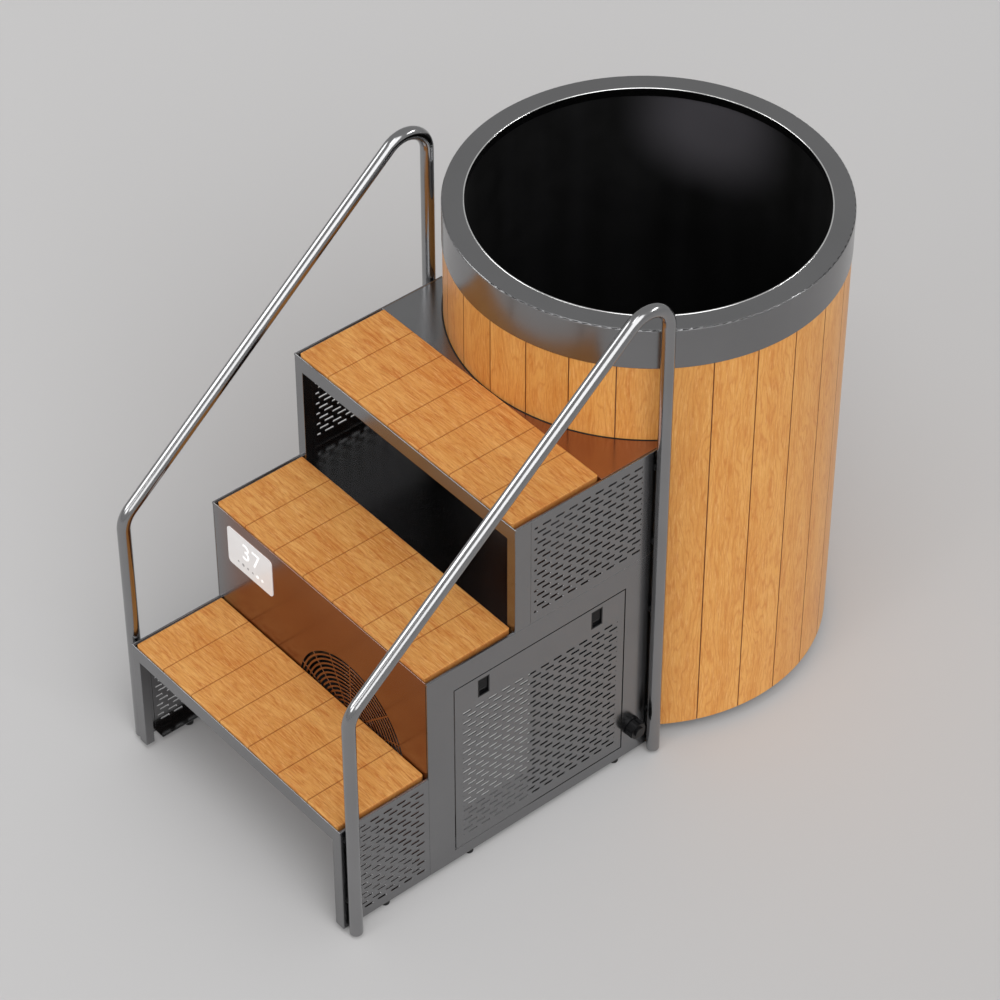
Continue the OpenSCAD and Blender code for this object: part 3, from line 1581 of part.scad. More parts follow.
// The shroud: a plate, a ring round the blades and arms that carry the motor
module fan_shroud() {
    y0 = casing_y0 + shroud_t;
    arm_y = casing_y0 + shroud_d - arm_t;
    side = casing_t + gap;
    ring_in = blade_r + shroud_gap;
    seat_r = fan_motor_r + gap;
    color(black) from_front() {
        sheet_y(y0, shroud_t) difference() {
            translate([casing_x0 + side, casing_z + side])
                square([chiller_w - 2 * side, chiller_h - 2 * side]);
            translate([fan_x, fan_z]) circle(ring_in);
        }
        sheet_y(y0, shroud_d) translate([fan_x, fan_z]) difference() {
            circle(ring_in + shroud_t);
            circle(ring_in);
        }
        sheet_y(arm_y, arm_t) translate([fan_x, fan_z]) {
            difference() {
                circle(seat_r + arm_w);
                circle(seat_r);
            }
            for (a = [45 : 90 : 315]) rotate(a)
                translate([seat_r + over, -arm_w / 2]) square([ring_in - seat_r, arm_w]);
        }
    }
}

module fan_motor() {
    y0 = casing_y0 + fan_in + fan_d + 2 * over;
    seat_y = casing_y0 + shroud_d - 2 * arm_t - tiny;
    color(black) from_front() difference() {
        union() {
            bar_y(y0, y0 + fan_motor_d, fan_x, fan_z, fan_motor_r);
            bar_y(seat_y, seat_y + arm_t, fan_x, fan_z, motor_flange_r);
        }
        bar_y(y0 - over, y0 + fan_motor_d / 2, fan_x, fan_z, shaft_r + fit);
    }
}

module fan_blades() {
    hub_y = casing_y0 + fan_in;
    rear = hub_y + fan_d;
    color(rubber) from_front() translate([fan_x, 0, fan_z]) {
        bar_y(hub_y, rear, 0, 0, hub_r);
        bar_y(rear, rear + fan_motor_d / 2, 0, 0, shaft_r);
        intersection() {
            bar_y(hub_y, rear, 0, 0, blade_r);
            for (i = [0 : blade_count - 1]) rotate([0, i * 360 / blade_count, 0])
                translate([0, hub_y + fan_d / 2, 0]) rotate(blade_angle)
                    block([-blade_w / 2, -blade_t / 2, hub_r / 2],
                        [blade_w / 2, blade_t / 2, blade_r + over]);
        }
    }
}

// Cable gland of the mains lead, in the left side
module power_inlet() {
    barrel = gland_bore + gland_wall;
    color(black) from_front() mirror([1, 0, 0]) difference() {
        union() {
            bar_x(half_w + tiny, half_w + gland_wall, drain_axis, drain_z, barrel + gland_wall);
            bar_x(half_w + gland_wall, half_w + gland_l, drain_axis, drain_z, barrel + gland_wall / 2);
            bar_x(half_w - gland_tail, half_w + tiny, drain_axis, drain_z, barrel);
            translate([half_w - gland_tail + 2 * over, drain_axis, drain_z]) rotate([0, 90, 0])
                cylinder(h = gland_tail - sheet_t - 2 * over - tiny, r = barrel + gland_wall + over, $fn = 6);
        }
        bar_x(half_w - gland_tail - over, half_w + gland_l + over, drain_axis, drain_z, gland_bore);
    }
}

tub_staves();
rim_top();
rim_band();
liner_wall();
liner_floor();
tub_insulation();
tub_base();
suction_fitting();
return_fitting();
tread_1();
tread_2();
tread_3();
step1_frame();
step1_side_left();
step1_side_right();
step1_tray();
cabinet_front();
cabinet_side_left();
cabinet_side_right();
cabinet_back();
cabinet_base();
cabinet_top();
step3_frame();
step3_side_left();
step3_side_right();
deck();
deck_seal();
access_door();
door_hinges();
latch_housings();
latch_left();
latch_right();
control_panel();
control_box();
handrail_left();
handrail_right();
rail_caps();
rail_spacers();
rail_bolts();
rail_nuts();
rubber_feet();
drain_fitting();
drain_cap();
drain_hose();
suction_manifold();
water_hoses();
pump();
pump_impeller();
filter_housing();
filter_cartridge();
filter_lid();
chiller_casing();
evaporator();
compressor();
condenser();
refrigerant_pipes();
fan_shroud();
fan_motor();
fan_blades();
power_inlet();
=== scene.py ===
import math
import bpy
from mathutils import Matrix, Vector


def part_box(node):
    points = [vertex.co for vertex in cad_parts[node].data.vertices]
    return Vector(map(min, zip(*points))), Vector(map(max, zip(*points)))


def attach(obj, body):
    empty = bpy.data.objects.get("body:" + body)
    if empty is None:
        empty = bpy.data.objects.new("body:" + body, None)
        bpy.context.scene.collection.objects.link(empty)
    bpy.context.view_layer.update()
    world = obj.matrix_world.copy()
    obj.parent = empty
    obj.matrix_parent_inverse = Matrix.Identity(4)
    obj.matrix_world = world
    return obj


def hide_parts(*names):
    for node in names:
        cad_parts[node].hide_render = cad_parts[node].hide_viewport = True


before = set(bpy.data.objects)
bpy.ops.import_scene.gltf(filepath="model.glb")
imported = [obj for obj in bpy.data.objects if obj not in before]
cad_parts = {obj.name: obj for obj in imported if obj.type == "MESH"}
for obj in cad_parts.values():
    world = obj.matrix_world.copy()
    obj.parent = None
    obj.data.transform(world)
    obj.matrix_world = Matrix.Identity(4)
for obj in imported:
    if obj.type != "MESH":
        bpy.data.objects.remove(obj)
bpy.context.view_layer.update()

# The camera stands about 8 m away, to the right of the stairs and above them, with a long lens,
# so that upright edges stay nearly parallel.
VIEW_TURN = math.radians(49.89)
VIEW_TILT = math.radians(42.38)
VIEW_FROM = (4.4028, -3.7602, 5.7854)
lens = bpy.data.cameras.new("long_lens")
lens.lens = 135
lens.sensor_width = 36
lens.clip_end = 60
camera = bpy.data.objects.new("camera", lens)
camera.location = VIEW_FROM
camera.rotation_euler = (math.pi / 2 - VIEW_TILT, 0, VIEW_TURN)
bpy.context.scene.collection.objects.link(camera)
bpy.context.scene.camera = camera


# The studio is a smooth pale grey floor that runs on as far as the camera sees.
# It is painted matt, so that it keeps only the object's soft shadow. Its colour darkens a little from
# the left of the stairs to their right, painted shade for light that falls off across the floor.
FADE_REACH = 2.5
FADE_LEFT = 1.05
FADE_RIGHT = 0.91


def linear(hex_code):
    """A hex sRGB colour as linear red, green, blue and alpha."""
    parts = [int(hex_code[i:i + 2], 16) / 255 for i in (1, 3, 5)]
    return [c / 12.92 if c <= 0.04045 else ((c + 0.055) / 1.055) ** 2.4 for c in parts] + [1.0]


def add(tree, kind, inputs=None, **settings):
    """Adds a shader node. inputs gives each socket a value or the socket that feeds it. MapRange
    takes its value at 0 from the span of 1 and 2 to that of 3 and 4, and a span that is left out
    runs from 0 to 1. Mix has its share at 0, its two colours at 6 and 7 and its result at 2."""
    new = tree.nodes.new("ShaderNode" + kind)
    for name, value in settings.items():
        setattr(new, name, value)
    for key, value in (inputs or {}).items():
        if isinstance(value, bpy.types.NodeSocket):
            tree.links.new(value, new.inputs[key])
        else:
            new.inputs[key].default_value = value
    return new


def new_finish(name, **constants):
    """A material with its node tree, and the surface shader in it."""
    finish = bpy.data.materials.new(name)
    finish.use_nodes = True
    shader = finish.node_tree.nodes["Principled BSDF"]
    for socket, value in constants.items():
        shader.inputs[socket.replace("_", " ")].default_value = value
    return finish, finish.node_tree, shader


def primitive(operator, name, **sizes):
    """Adds one of Blender's basic shapes with nothing else selected, and gives it back."""
    bpy.ops.object.select_all(action="DESELECT")
    operator(**sizes)
    shape = bpy.context.object
    shape.name = name
    shape.data.name = name
    return shape


floor_paint, tree, shader = new_finish("matt_floor_paint", Roughness=0.9, Specular_IOR_Level=0.1)
along = add(tree, "SeparateXYZ", {0: add(tree, "TexCoord").outputs["Object"]}).outputs[0]
# Painted shade: the floor's colour darkens from left to right.
shade = add(tree, "MapRange", {0: along, 1: -FADE_REACH, 2: FADE_REACH, 3: FADE_LEFT, 4: FADE_RIGHT})
tone = add(tree, "HueSaturation", {"Color": linear("#c9c8c8"), "Value": shade.outputs[0]}).outputs[0]
tree.links.new(tone, shader.inputs["Base Color"])
floor = primitive(bpy.ops.mesh.primitive_plane_add, "floor", size=60)
floor.data.materials.append(floor_paint)


# The light comes from a pale room, a wide soft box high on the left of the stairs, which draws the
# white line along the handrails, and a broad soft light from the right, which casts the shadows.
LIT_PLACE = Vector((0, 0.5, 0.5))


def soft_box(name, aim, reach, width, height, watts, glossy_only=False):
    """A rectangular lamp that stands reach metres from the stairs towards aim and faces them."""
    lamp = bpy.data.lights.new(name, "AREA")
    lamp.shape = "RECTANGLE"
    lamp.size = width
    lamp.size_y = height
    lamp.energy = watts
    stand = bpy.data.objects.new(name, lamp)
    aim = Vector(aim).normalized()
    stand.location = aim * reach + LIT_PLACE
    stand.rotation_euler = aim.to_track_quat("Z", "Y").to_euler()
    stand.visible_diffuse = not glossy_only
    bpy.context.scene.collection.objects.link(stand)


soft_box("left_box", aim=(-0.62, -0.70, 0.62), reach=8.0, width=5.0, height=3.0, watts=190,
         glossy_only=True)
soft_box("front_box", aim=(0.05, -1.0, 0.55), reach=8.0, width=2.6, height=2.0, watts=60)
soft_box("over_box", aim=(0.15, -0.35, 1.0), reach=8.0, width=1.6, height=3.2, watts=60)
soft_box("back_strip", aim=(0.55, 0.75, 0.70), reach=7.0, width=3.0, height=0.8, watts=110,
         glossy_only=True)

broad = bpy.data.lights.new("right_light", "SUN")
broad.angle = math.radians(55)
broad.energy = 1.75
stand = bpy.data.objects.new("right_light", broad)
stand.rotation_euler = Vector((1.0, -0.35, 1.0)).to_track_quat("Z", "Y").to_euler()
bpy.context.scene.collection.objects.link(stand)

room = bpy.data.worlds.new("pale_room")
room.use_nodes = True
room.node_tree.nodes["Background"].inputs["Color"].default_value = linear("#ffffff")
room.node_tree.nodes["Background"].inputs["Strength"].default_value = 0.47
bpy.context.scene.world = room
bpy.context.scene.view_settings.view_transform = "Standard"


# The plinth, the base disc and the pads under the tub are black plastic and rubber, moulded with a
# fine matt grain. The small black fittings of the cabinet are moulded in the same way.
def dress(finish, *names):
    """Gives CAD nodes their finish."""
    for name in names:
        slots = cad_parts[name].data.materials
        slots.clear()
        slots.append(finish)


def millimetres(tree):
    """The place on the piece in millimetres."""
    place = add(tree, "TexCoord").outputs["Object"]
    return add(tree, "VectorMath", {0: place, 3: 1000.0}, operation="SCALE").outputs[0]


def patches(tree, place, size, detail=2.0, roughness=0.5):
    """A soft pattern from 0 to 1 whose patches are about size millimetres, one size or three."""
    size = size if isinstance(size, tuple) else (size, size, size)
    scaled = add(tree, "VectorMath", {0: place, 1: tuple(1 / s for s in size)}, operation="MULTIPLY")
    return add(tree, "TexNoise", {"Vector": scaled.outputs[0], "Scale": 1.0, "Detail": detail,
                                  "Roughness": roughness}).outputs[0]


def mottle(tree, shader, pattern, tones, tone_span=(0.0, 1.0), blur=None, blur_span=(0.3, 0.7)):
    """Lets a pattern take the colour from the first of tones to the second over tone_span, and the
    roughness from the first of blur to the second over blur_span."""
    share = add(tree, "MapRange", {0: pattern, 1: tone_span[0], 2: tone_span[1]}).outputs[0]
    tone = add(tree, "Mix", {0: share, 6: linear(tones[0]), 7: linear(tones[1])}, data_type="RGBA")
    tree.links.new(tone.outputs[2], shader.inputs["Base Color"])
    if blur:
        haze = add(tree, "MapRange", {0: pattern, 1: blur_span[0], 2: blur_span[1], 3: blur[0], 4: blur[1]})
        tree.links.new(haze.outputs[0], shader.inputs["Roughness"])


def moulded(name, dark, light, roughness, grain):
    """Moulded plastic or rubber: a fine grain of that many millimetres and faint handling marks."""
    finish, tree, shader = new_finish(name, Specular_IOR_Level=0.35)
    place = millimetres(tree)
    handling = patches(tree, place, 45.0, detail=3.0, roughness=0.6)
    mottle(tree, shader, handling, (dark, light), (0.35, 0.7), (roughness - 0.05, roughness + 0.06))
    pits = patches(tree, place, grain, detail=1.0)
    relief = add(tree, "Bump", {"Height": pits, "Strength": 0.15, "Distance": 0.0003}).outputs[0]
    tree.links.new(relief, shader.inputs["Normal"])
    return finish


black_plastic = moulded("black_moulded_plastic", "#08080a", "#0f0f10", roughness=0.36, grain=1.2)
black_rubber = moulded("black_rubber", "#161616", "#242423", roughness=0.62, grain=1.5)
dress(black_plastic, "tub_base")
dress(black_rubber, "rubber_feet", "deck_seal")


# The staves are lacquered softwood boards, about 97 mm wide, that stand side by side round the tub.
# Each is sawn from another place in the log, so its figure and its tone differ from the next one's.
# All lengths of the wood's pattern are in millimetres.
WOOD_PALE = "#edb878"
WOOD_LIGHT = "#e0a45c"
WOOD_MID = "#cf8b45"
WOOD_RED = "#b9652b"
WOOD_PORE = "#7f4217"
SEAM = "#6a3008"
GROWTH_RING = 11.0
RING_SWAY = 110.0
RING_SHARPNESS = 5.0
PORE_LENGTH = 28.0
PORE_WIDTH = 1.3
LOG_LENGTH = 4000.0
STAVES = 27


def wood_figure(tree, along, across, through, seed, marks):
    """Wood grain in millimetres, its pores drawn twice as wide as real ones so that they show.
    marks is the strength of its darker marks. Gives the colour and the height sockets."""
    shifted = add(tree, "Math", {0: along, 1: seed}, operation="ADD").outputs[0]
    flow = add(tree, "CombineXYZ", {0: shifted, 1: across, 2: through}).outputs[0]
    sway = patches(tree, flow, (240.0, 60.0, 60.0), detail=3.0)
    bent = add(tree, "Math", {0: sway, 1: RING_SWAY, 2: across}, operation="MULTIPLY_ADD").outputs[0]
    turns = add(tree, "Math", {0: bent, 1: 2 * math.pi / GROWTH_RING}, operation="MULTIPLY").outputs[0]
    wave = add(tree, "Math", {0: turns}, operation="SINE").outputs[0]
    wave = add(tree, "MapRange", {0: wave, 1: -1.0, 2: 1.0}).outputs[0]
    rings = add(tree, "Math", {0: wave, 1: RING_SHARPNESS}, operation="POWER").outputs[0]
    clouds = patches(tree, flow, (240.0, 34.0, 34.0))
    flames = patches(tree, flow, (60.0, 9.0, 9.0), detail=4.0, roughness=0.75)
    flecks = patches(tree, flow, (34.0, 2.8, 2.8), detail=3.0, roughness=0.7)
    pores = patches(tree, flow, (PORE_LENGTH, PORE_WIDTH, PORE_WIDTH), detail=3.0, roughness=0.7)
    tone = linear(WOOD_LIGHT)
    for pattern, start, full, strength, colour in (
            (clouds, 0.35, 0.65, 0.4 + 0.6 * marks, WOOD_MID),
            (rings, 0.0, 1.0, 0.32, WOOD_RED),
            (flames, 0.50, 0.64, 0.95 * marks, WOOD_RED),
            (flecks, 0.54, 0.68, 0.60 * marks, WOOD_RED),
            (flecks, 0.46, 0.34, 0.50, WOOD_PALE),
            (pores, 0.54, 0.70, 0.65 * marks, WOOD_PORE)):
        share = add(tree, "MapRange", {0: pattern, 1: start, 2: full, 4: strength}).outputs[0]
        tone = add(tree, "Mix", {0: share, 6: tone, 7: linear(colour)}, data_type="RGBA").outputs[2]
    height = add(tree, "Math", {0: flecks, 1: pores}, operation="SUBTRACT").outputs[0]
    return tone, height


def darken_joints(tree, tone, across, pitch, colour, strength, dark_to, gone_by):
    """Darkens the wood beside its joints, which lie pitch apart, from dark_to on less and less."""
    aside = add(tree, "Math", {0: across, 1: pitch / 2}, operation="PINGPONG").outputs[0]
    share = add(tree, "MapRange", {0: aside, 1: dark_to, 2: gone_by, 3: strength, 4: 0.0}).outputs[0]
    return add(tree, "Mix", {0: share, 6: tone, 7: linear(colour)}, data_type="RGBA").outputs[2]


def lacquer(tree, shader, tone, height, blur, strength):
    """Leads the wood's colour and the relief of its grain into the shader. The grain's low parts
    have the first of blur as their roughness and its high parts the second."""
    tree.links.new(tone, shader.inputs["Base Color"])
    haze = add(tree, "MapRange", {0: height, 1: -0.3, 2: 0.3, 3: blur[0], 4: blur[1]}).outputs[0]
    tree.links.new(haze, shader.inputs["Roughness"])
    relief = add(tree, "Bump", {"Height": height, "Strength": strength, "Distance": 0.0004}).outputs[0]
    tree.links.new(relief, shader.inputs["Normal"])


stave_low, stave_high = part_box("tub_staves")
TUB_Y = (stave_low.y + stave_high.y) / 2
STAVE_R = (stave_high.x - stave_low.x) / 2 * 1000
STAVE_W = STAVE_R * 2 * math.pi / STAVES

stave_lacquer, tree, shader = new_finish("lacquered_stave_wood", Coat_Weight=0.08, Coat_Roughness=0.2,
                                         Specular_IOR_Level=0.3)
to_axis = (0, -TUB_Y * 1000, 0)
centred = add(tree, "VectorMath", {0: millimetres(tree), 1: to_axis}, operation="ADD").outputs[0]
parts = add(tree, "SeparateXYZ", {0: centred})
turn = add(tree, "Math", {0: parts.outputs[1], 1: parts.outputs[0]}, operation="ARCTAN2").outputs[0]
turn = add(tree, "Math", {0: turn, 1: math.pi / 2}, operation="ADD").outputs[0]
boards = add(tree, "Math", {0: turn, 1: STAVES / (2 * math.pi)}, operation="MULTIPLY").outputs[0]
board = add(tree, "Math", {0: boards}, operation="FLOOR").outputs[0]
chance = add(tree, "TexWhiteNoise", {"W": board}, noise_dimensions="1D").outputs[0]
seed = add(tree, "Math", {0: chance, 1: LOG_LENGTH}, operation="MULTIPLY").outputs[0]
across = add(tree, "Math", {0: turn, 1: STAVE_R}, operation="MULTIPLY").outputs[0]
tone, height = wood_figure(tree, parts.outputs[2], across, seed, seed, marks=0.3)
# Each board's tone differs at random, and all are lifted above the wood's own colour: painted light that
# brightens the upright staves, which get less light than the treads' tops.
shade = add(tree, "MapRange", {0: chance, 3: 1.01, 4: 1.07}).outputs[0]
tone = add(tree, "HueSaturation", {"Color": tone, "Value": shade, "Saturation": 1.02}).outputs[0]
tone = darken_joints(tree, tone, across, STAVE_W, SEAM, strength=0.9, dark_to=0.6, gone_by=2.0)
lacquer(tree, shader, tone, height, blur=(0.42, 0.34), strength=0.10)
dress(stave_lacquer, "tub_staves")


# The liner is a cup of glossy black plastic, thermoformed, so that broad faint waves stay in its wall.
# A soft grey patch high on its far side is a painted reflection in its colour. The foam between it and
# the staves is pale yellow, sprayed in place.
PAINTED_REFLECTION_PLACE = (-165.0, 678.0, 1060.0)
PAINTED_REFLECTION_CORE = 50.0
PAINTED_REFLECTION_REACH = 215.0

liner_black, tree, shader = new_finish("glossy_black_liner", IOR=1.6)
place = millimetres(tree)
waves = patches(tree, place, (90.0, 90.0, 900.0), roughness=0.4)
share = add(tree, "MapRange", {0: waves, 1: 0.3, 2: 0.7}).outputs[0]
tone = add(tree, "Mix", {0: share, 6: linear("#040404"), 7: linear("#121213")}, data_type="RGBA").outputs[2]
# Painted reflection: near one place high on the far wall the black colour turns soft grey.
apart = add(tree, "VectorMath", {0: place, 1: PAINTED_REFLECTION_PLACE}, operation="DISTANCE").outputs["Value"]
share = add(tree, "MapRange", {0: apart, 1: PAINTED_REFLECTION_CORE, 2: PAINTED_REFLECTION_REACH, 3: 1.0, 4: 0.0},
            interpolation_type="SMOOTHSTEP").outputs[0]
tone = add(tree, "Mix", {0: share, 6: tone, 7: linear("#464448")}, data_type="RGBA").outputs[2]
tree.links.new(tone, shader.inputs["Base Color"])
haze = add(tree, "MapRange", {0: patches(tree, place, 60.0, detail=3.0), 1: 0.3, 2: 0.7, 3: 0.38, 4: 0.44})
tree.links.new(haze.outputs[0], shader.inputs["Roughness"])
relief = add(tree, "Bump", {"Height": waves, "Strength": 0.25, "Distance": 0.002}).outputs[0]
tree.links.new(relief, shader.inputs["Normal"])
dress(liner_black, "liner_wall", "liner_floor")

foam, tree, shader = new_finish("sprayed_foam", Roughness=0.85)
place = millimetres(tree)
mottle(tree, shader, patches(tree, place, 25.0, detail=3.0), ("#d9c692", "#c4ad74"), (0.3, 0.7))
bubbles = patches(tree, place, 3.0)
relief = add(tree, "Bump", {"Height": bubbles, "Strength": 0.4, "Distance": 0.001}).outputs[0]
tree.links.new(relief, shader.inputs["Normal"])
dress(foam, "tub_insulation")


# The rim, the cabinet, its sides and its door are folded from stainless sheet with a dark satin
# skin, smooth enough to mirror the treads softly. The folds of the plain sheets are rounded in the
# shading by about the sheet's thickness, and the edges of the punched ones by less.
SATIN_GREY = "#8b8b8c"
FOLD_R = 0.0018
PUNCHED_R = 0.0005


def dark_sheet(name, fold_r, painted_reflection_tint=SATIN_GREY, start=0.0, end=1.0):
    """Dark satin stainless sheet, with faint smears and slightly uneven flats. From start to end along
    the step its colour goes over to painted_reflection_tint, a painted reflection of the wood."""
    finish, tree, shader = new_finish(name, Metallic=1.0)
    place = millimetres(tree)
    smears = patches(tree, place, 140.0, detail=4.0, roughness=0.6)
    aside = add(tree, "SeparateXYZ", {0: place}).outputs[0]
    share = add(tree, "MapRange", {0: aside, 1: start, 2: end}).outputs[0]
    tone = add(tree, "Mix", {0: share, 6: linear(SATIN_GREY), 7: linear(painted_reflection_tint)}, data_type="RGBA").outputs[2]
    shade = add(tree, "MapRange", {0: smears, 1: 0.3, 2: 0.7, 3: 1.0, 4: 0.94}).outputs[0]
    tone = add(tree, "HueSaturation", {"Color": tone, "Value": shade}).outputs[0]
    tree.links.new(tone, shader.inputs["Base Color"])
    haze = add(tree, "MapRange", {0: smears, 1: 0.3, 2: 0.7, 3: 0.18, 4: 0.22}).outputs[0]
    tree.links.new(haze, shader.inputs["Roughness"])
    fold = add(tree, "Bevel", {"Radius": fold_r}, samples=6).outputs[0]
    flats = patches(tree, place, 70.0, detail=1.0)
    relief = add(tree, "Bump", {"Height": flats, "Strength": 0.08, "Distance": 0.0006, "Normal": fold})
    tree.links.new(relief.outputs[0], shader.inputs["Normal"])
    return finish


folded_plate = dark_sheet("dark_satin_stainless", FOLD_R)
dress(folded_plate, "rim_top", "rim_band", "step1_frame", "step1_tray", "cabinet_back", "cabinet_base",
      "cabinet_top", "step3_frame")
punched_plate = dark_sheet("punched_satin_stainless", PUNCHED_R)
dress(punched_plate, "step1_side_left", "step1_side_right", "cabinet_side_left", "cabinet_side_right",
      "step3_side_left", "step3_side_right", "access_door")
# The riser and the deck carry a painted reflection of the wood: across part of the step their colour turns
# warm brown.
riser_plate = dark_sheet("riser_satin_stainless", PUNCHED_R, painted_reflection_tint="#8f7166", start=-345.0, end=-270.0)
dress(riser_plate, "cabinet_front")
deck_plate = dark_sheet("deck_satin_stainless", FOLD_R, painted_reflection_tint="#aa8778", start=-200.0, end=0.0)
dress(deck_plate, "deck")


# A stainless bead closes the inner edge of the rim, where its lip turns down into the tub. It is bent
# to a ring, welded on and polished, so that it draws a thin white line. RIM_WIDTH is the width of the
# rim's flat top, and BEAD_INSET is how far the bead's middle lies outside the lip's inner face.
BEAD_R = 0.0017
BEAD_INSET = 0.0008
RIM_WIDTH = 0.0463
MERGE_GAP = 0.00001
SHARP_FROM = math.radians(40)
rim_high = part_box("rim_top")[1]
BEAD_RING_R = rim_high.x - RIM_WIDTH + BEAD_INSET


def tidy_mesh(shape):
    """Merges the doubles of a finished shape, turns its faces outwards and smooths it."""
    bpy.ops.object.mode_set(mode="EDIT")
    bpy.ops.mesh.select_all(action="SELECT")
    bpy.ops.mesh.remove_doubles(threshold=MERGE_GAP)
    bpy.ops.mesh.normals_make_consistent(inside=False)
    bpy.ops.object.mode_set(mode="OBJECT")
    bpy.ops.object.transform_apply(location=True, rotation=True, scale=True)
    bpy.ops.object.shade_smooth_by_angle(angle=SHARP_FROM)


bead = primitive(bpy.ops.mesh.primitive_circle_add, "rim_bead", vertices=16, radius=BEAD_R,
                 location=(BEAD_RING_R, TUB_Y, rim_high.z - BEAD_R / 3), rotation=(math.pi / 2, 0, 0))
bpy.ops.object.mode_set(mode="EDIT")
bpy.ops.mesh.select_all(action="SELECT")
bpy.ops.mesh.spin(steps=240, angle=2 * math.pi, center=(0, TUB_Y, 0), axis=(0, 0, 1))
bpy.ops.object.mode_set(mode="OBJECT")
tidy_mesh(bead)
bright_edge, tree, shader = new_finish("polished_bead", Metallic=1.0)
haze = patches(tree, millimetres(tree), 12.0, detail=3.0, roughness=0.6)
mottle(tree, shader, haze, ("#f0f0f0", "#dededd"), blur=(0.12, 0.22))
bead.data.materials.append(bright_edge)
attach(bead, "tub_and_stairs")


# The treads are single slabs of the same wood, lacquered, with the grain along the step. Milled
# grooves make each look like a row of boards, and each slab comes from another length of the log.
TREAD_BOARDS = 7
tread_low, tread_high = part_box("tread_1")
BOARD_W = (tread_high.x - tread_low.x) * 1000 / TREAD_BOARDS
for name, log_place in (("tread_1", 300.0), ("tread_2", 1350.0), ("tread_3", 2600.0)):
    tread_lacquer, tree, shader = new_finish("lacquered_" + name, Specular_IOR_Level=0.12)
    aside, depth, up = add(tree, "SeparateXYZ", {0: millimetres(tree)}).outputs
    tone, height = wood_figure(tree, aside, depth, up, log_place, marks=0.62)
    across = add(tree, "Math", {0: aside, 1: tread_low.x * -1000}, operation="ADD").outputs[0]
    tone = darken_joints(tree, tone, across, BOARD_W, WOOD_PORE, strength=0.55, dark_to=0.7, gone_by=2.2)
    # Painted shade: the treads' wood is darkened a little, as their tops get more light than the staves.
    tone = add(tree, "HueSaturation", {"Color": tone, "Value": 0.96}).outputs[0]
    lacquer(tree, shader, tone, height, blur=(0.60, 0.50), strength=0.14)
    dress(tread_lacquer, name)


# The handrails are stainless tube, bent, welded and then polished bright, so that only a faint haze is
# left. The tubes drawn here follow the solids in finer steps, without their weld beads, which stand
# WELD_PROUD above the tube.
rail_polish, tree, shader = new_finish("polished_stainless", Metallic=1.0)
haze = patches(tree, millimetres(tree), 120.0, detail=1.0)
mottle(tree, shader, haze, ("#9c9c9d", "#929293"), blur=(0.14, 0.17))
dress(rail_polish, "rail_caps")

RAIL_SLOPE = math.radians(40.1)
RAIL_BEND = 0.060
WELD_PROUD = 0.0001
for side in ("left", "right"):
    low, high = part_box("handrail_" + side)
    radius = (high.x - low.x) / 2 - WELD_PROUD
    middle_x = (low.x + high.x) / 2
    front_y = low.y + WELD_PROUD + radius
    rear_y = high.y - WELD_PROUD - radius
    upper_y = rear_y - RAIL_BEND
    upper_z = high.z - radius - RAIL_BEND
    lower_y = front_y + RAIL_BEND
    lower_z = upper_z - (upper_y - lower_y) * math.tan(RAIL_SLOPE)
    run = (upper_y - lower_y) / math.cos(RAIL_SLOPE)
    rail = primitive(bpy.ops.mesh.primitive_circle_add, "handrail_tube_" + side, vertices=48,
                     radius=radius, location=(middle_x, front_y, low.z))
    bpy.ops.object.mode_set(mode="EDIT")
    bpy.ops.mesh.select_all(action="SELECT")
    bpy.ops.mesh.extrude_region_move(TRANSFORM_OT_translate={"value": (0, 0, lower_z - low.z)})
    bpy.ops.mesh.spin(steps=16, angle=math.pi / 2 - RAIL_SLOPE, center=(middle_x, lower_y, lower_z),
                      axis=(1, 0, 0))
    bpy.ops.mesh.extrude_region_move(TRANSFORM_OT_translate={
        "value": (0, run * math.cos(RAIL_SLOPE), run * math.sin(RAIL_SLOPE))})
    bpy.ops.mesh.spin(steps=36, angle=math.pi / 2 + RAIL_SLOPE, center=(middle_x, upper_y, upper_z),
                      axis=(1, 0, 0))
    bpy.ops.mesh.extrude_region_move(TRANSFORM_OT_translate={"value": (0, 0, low.z - upper_z)})
    bpy.ops.mesh.select_all(action="SELECT")
    bpy.ops.mesh.region_to_loop()
    bpy.ops.mesh.edge_face_add()
    bpy.ops.object.mode_set(mode="OBJECT")
    tidy_mesh(rail)
    rail.data.materials.append(rail_polish)
    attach(rail, "tub_and_stairs")
    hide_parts("handrail_" + side)


# Black plastic spacers, blackened screws and zinc-plated nuts hold the handrails to the sides. The
# latches, the tub's fittings, the pump, the filter and the fan are moulded of the same black plastic,
# and the hoses are black rubber. The hinges and the evaporator are zinc-plated too.
SPANGLE = 9.0
dress(black_plastic, "rail_spacers", "latch_housings", "latch_left", "latch_right", "control_box",
      "drain_fitting", "drain_cap", "suction_fitting", "return_fitting", "suction_manifold",
      "filter_housing", "filter_lid", "power_inlet", "fan_shroud", "fan_blades", "pump", "pump_impeller")
dress(black_rubber, "drain_hose", "water_hoses")

black_oxide, tree, shader = new_finish("black_oxide_steel", Metallic=1.0)
rub = patches(tree, millimetres(tree), 4.0, detail=3.0, roughness=0.6)
mottle(tree, shader, rub, ("#1d1d1f", "#3a3a3c"), (0.4, 0.7), blur=(0.30, 0.42))
dress(black_oxide, "rail_bolts")

zinc, tree, shader = new_finish("zinc_plated_steel", Metallic=1.0)
flakes = add(tree, "TexVoronoi", {"Vector": millimetres(tree), "Scale": 1 / SPANGLE}).outputs["Color"]
grey = add(tree, "SeparateColor", {0: flakes}).outputs[0]
mottle(tree, shader, grey, ("#a3a7ab", "#c3c6c9"), blur=(0.28, 0.42), blur_span=(0.0, 1.0))
dress(zinc, "door_hinges", "rail_nuts", "evaporator")
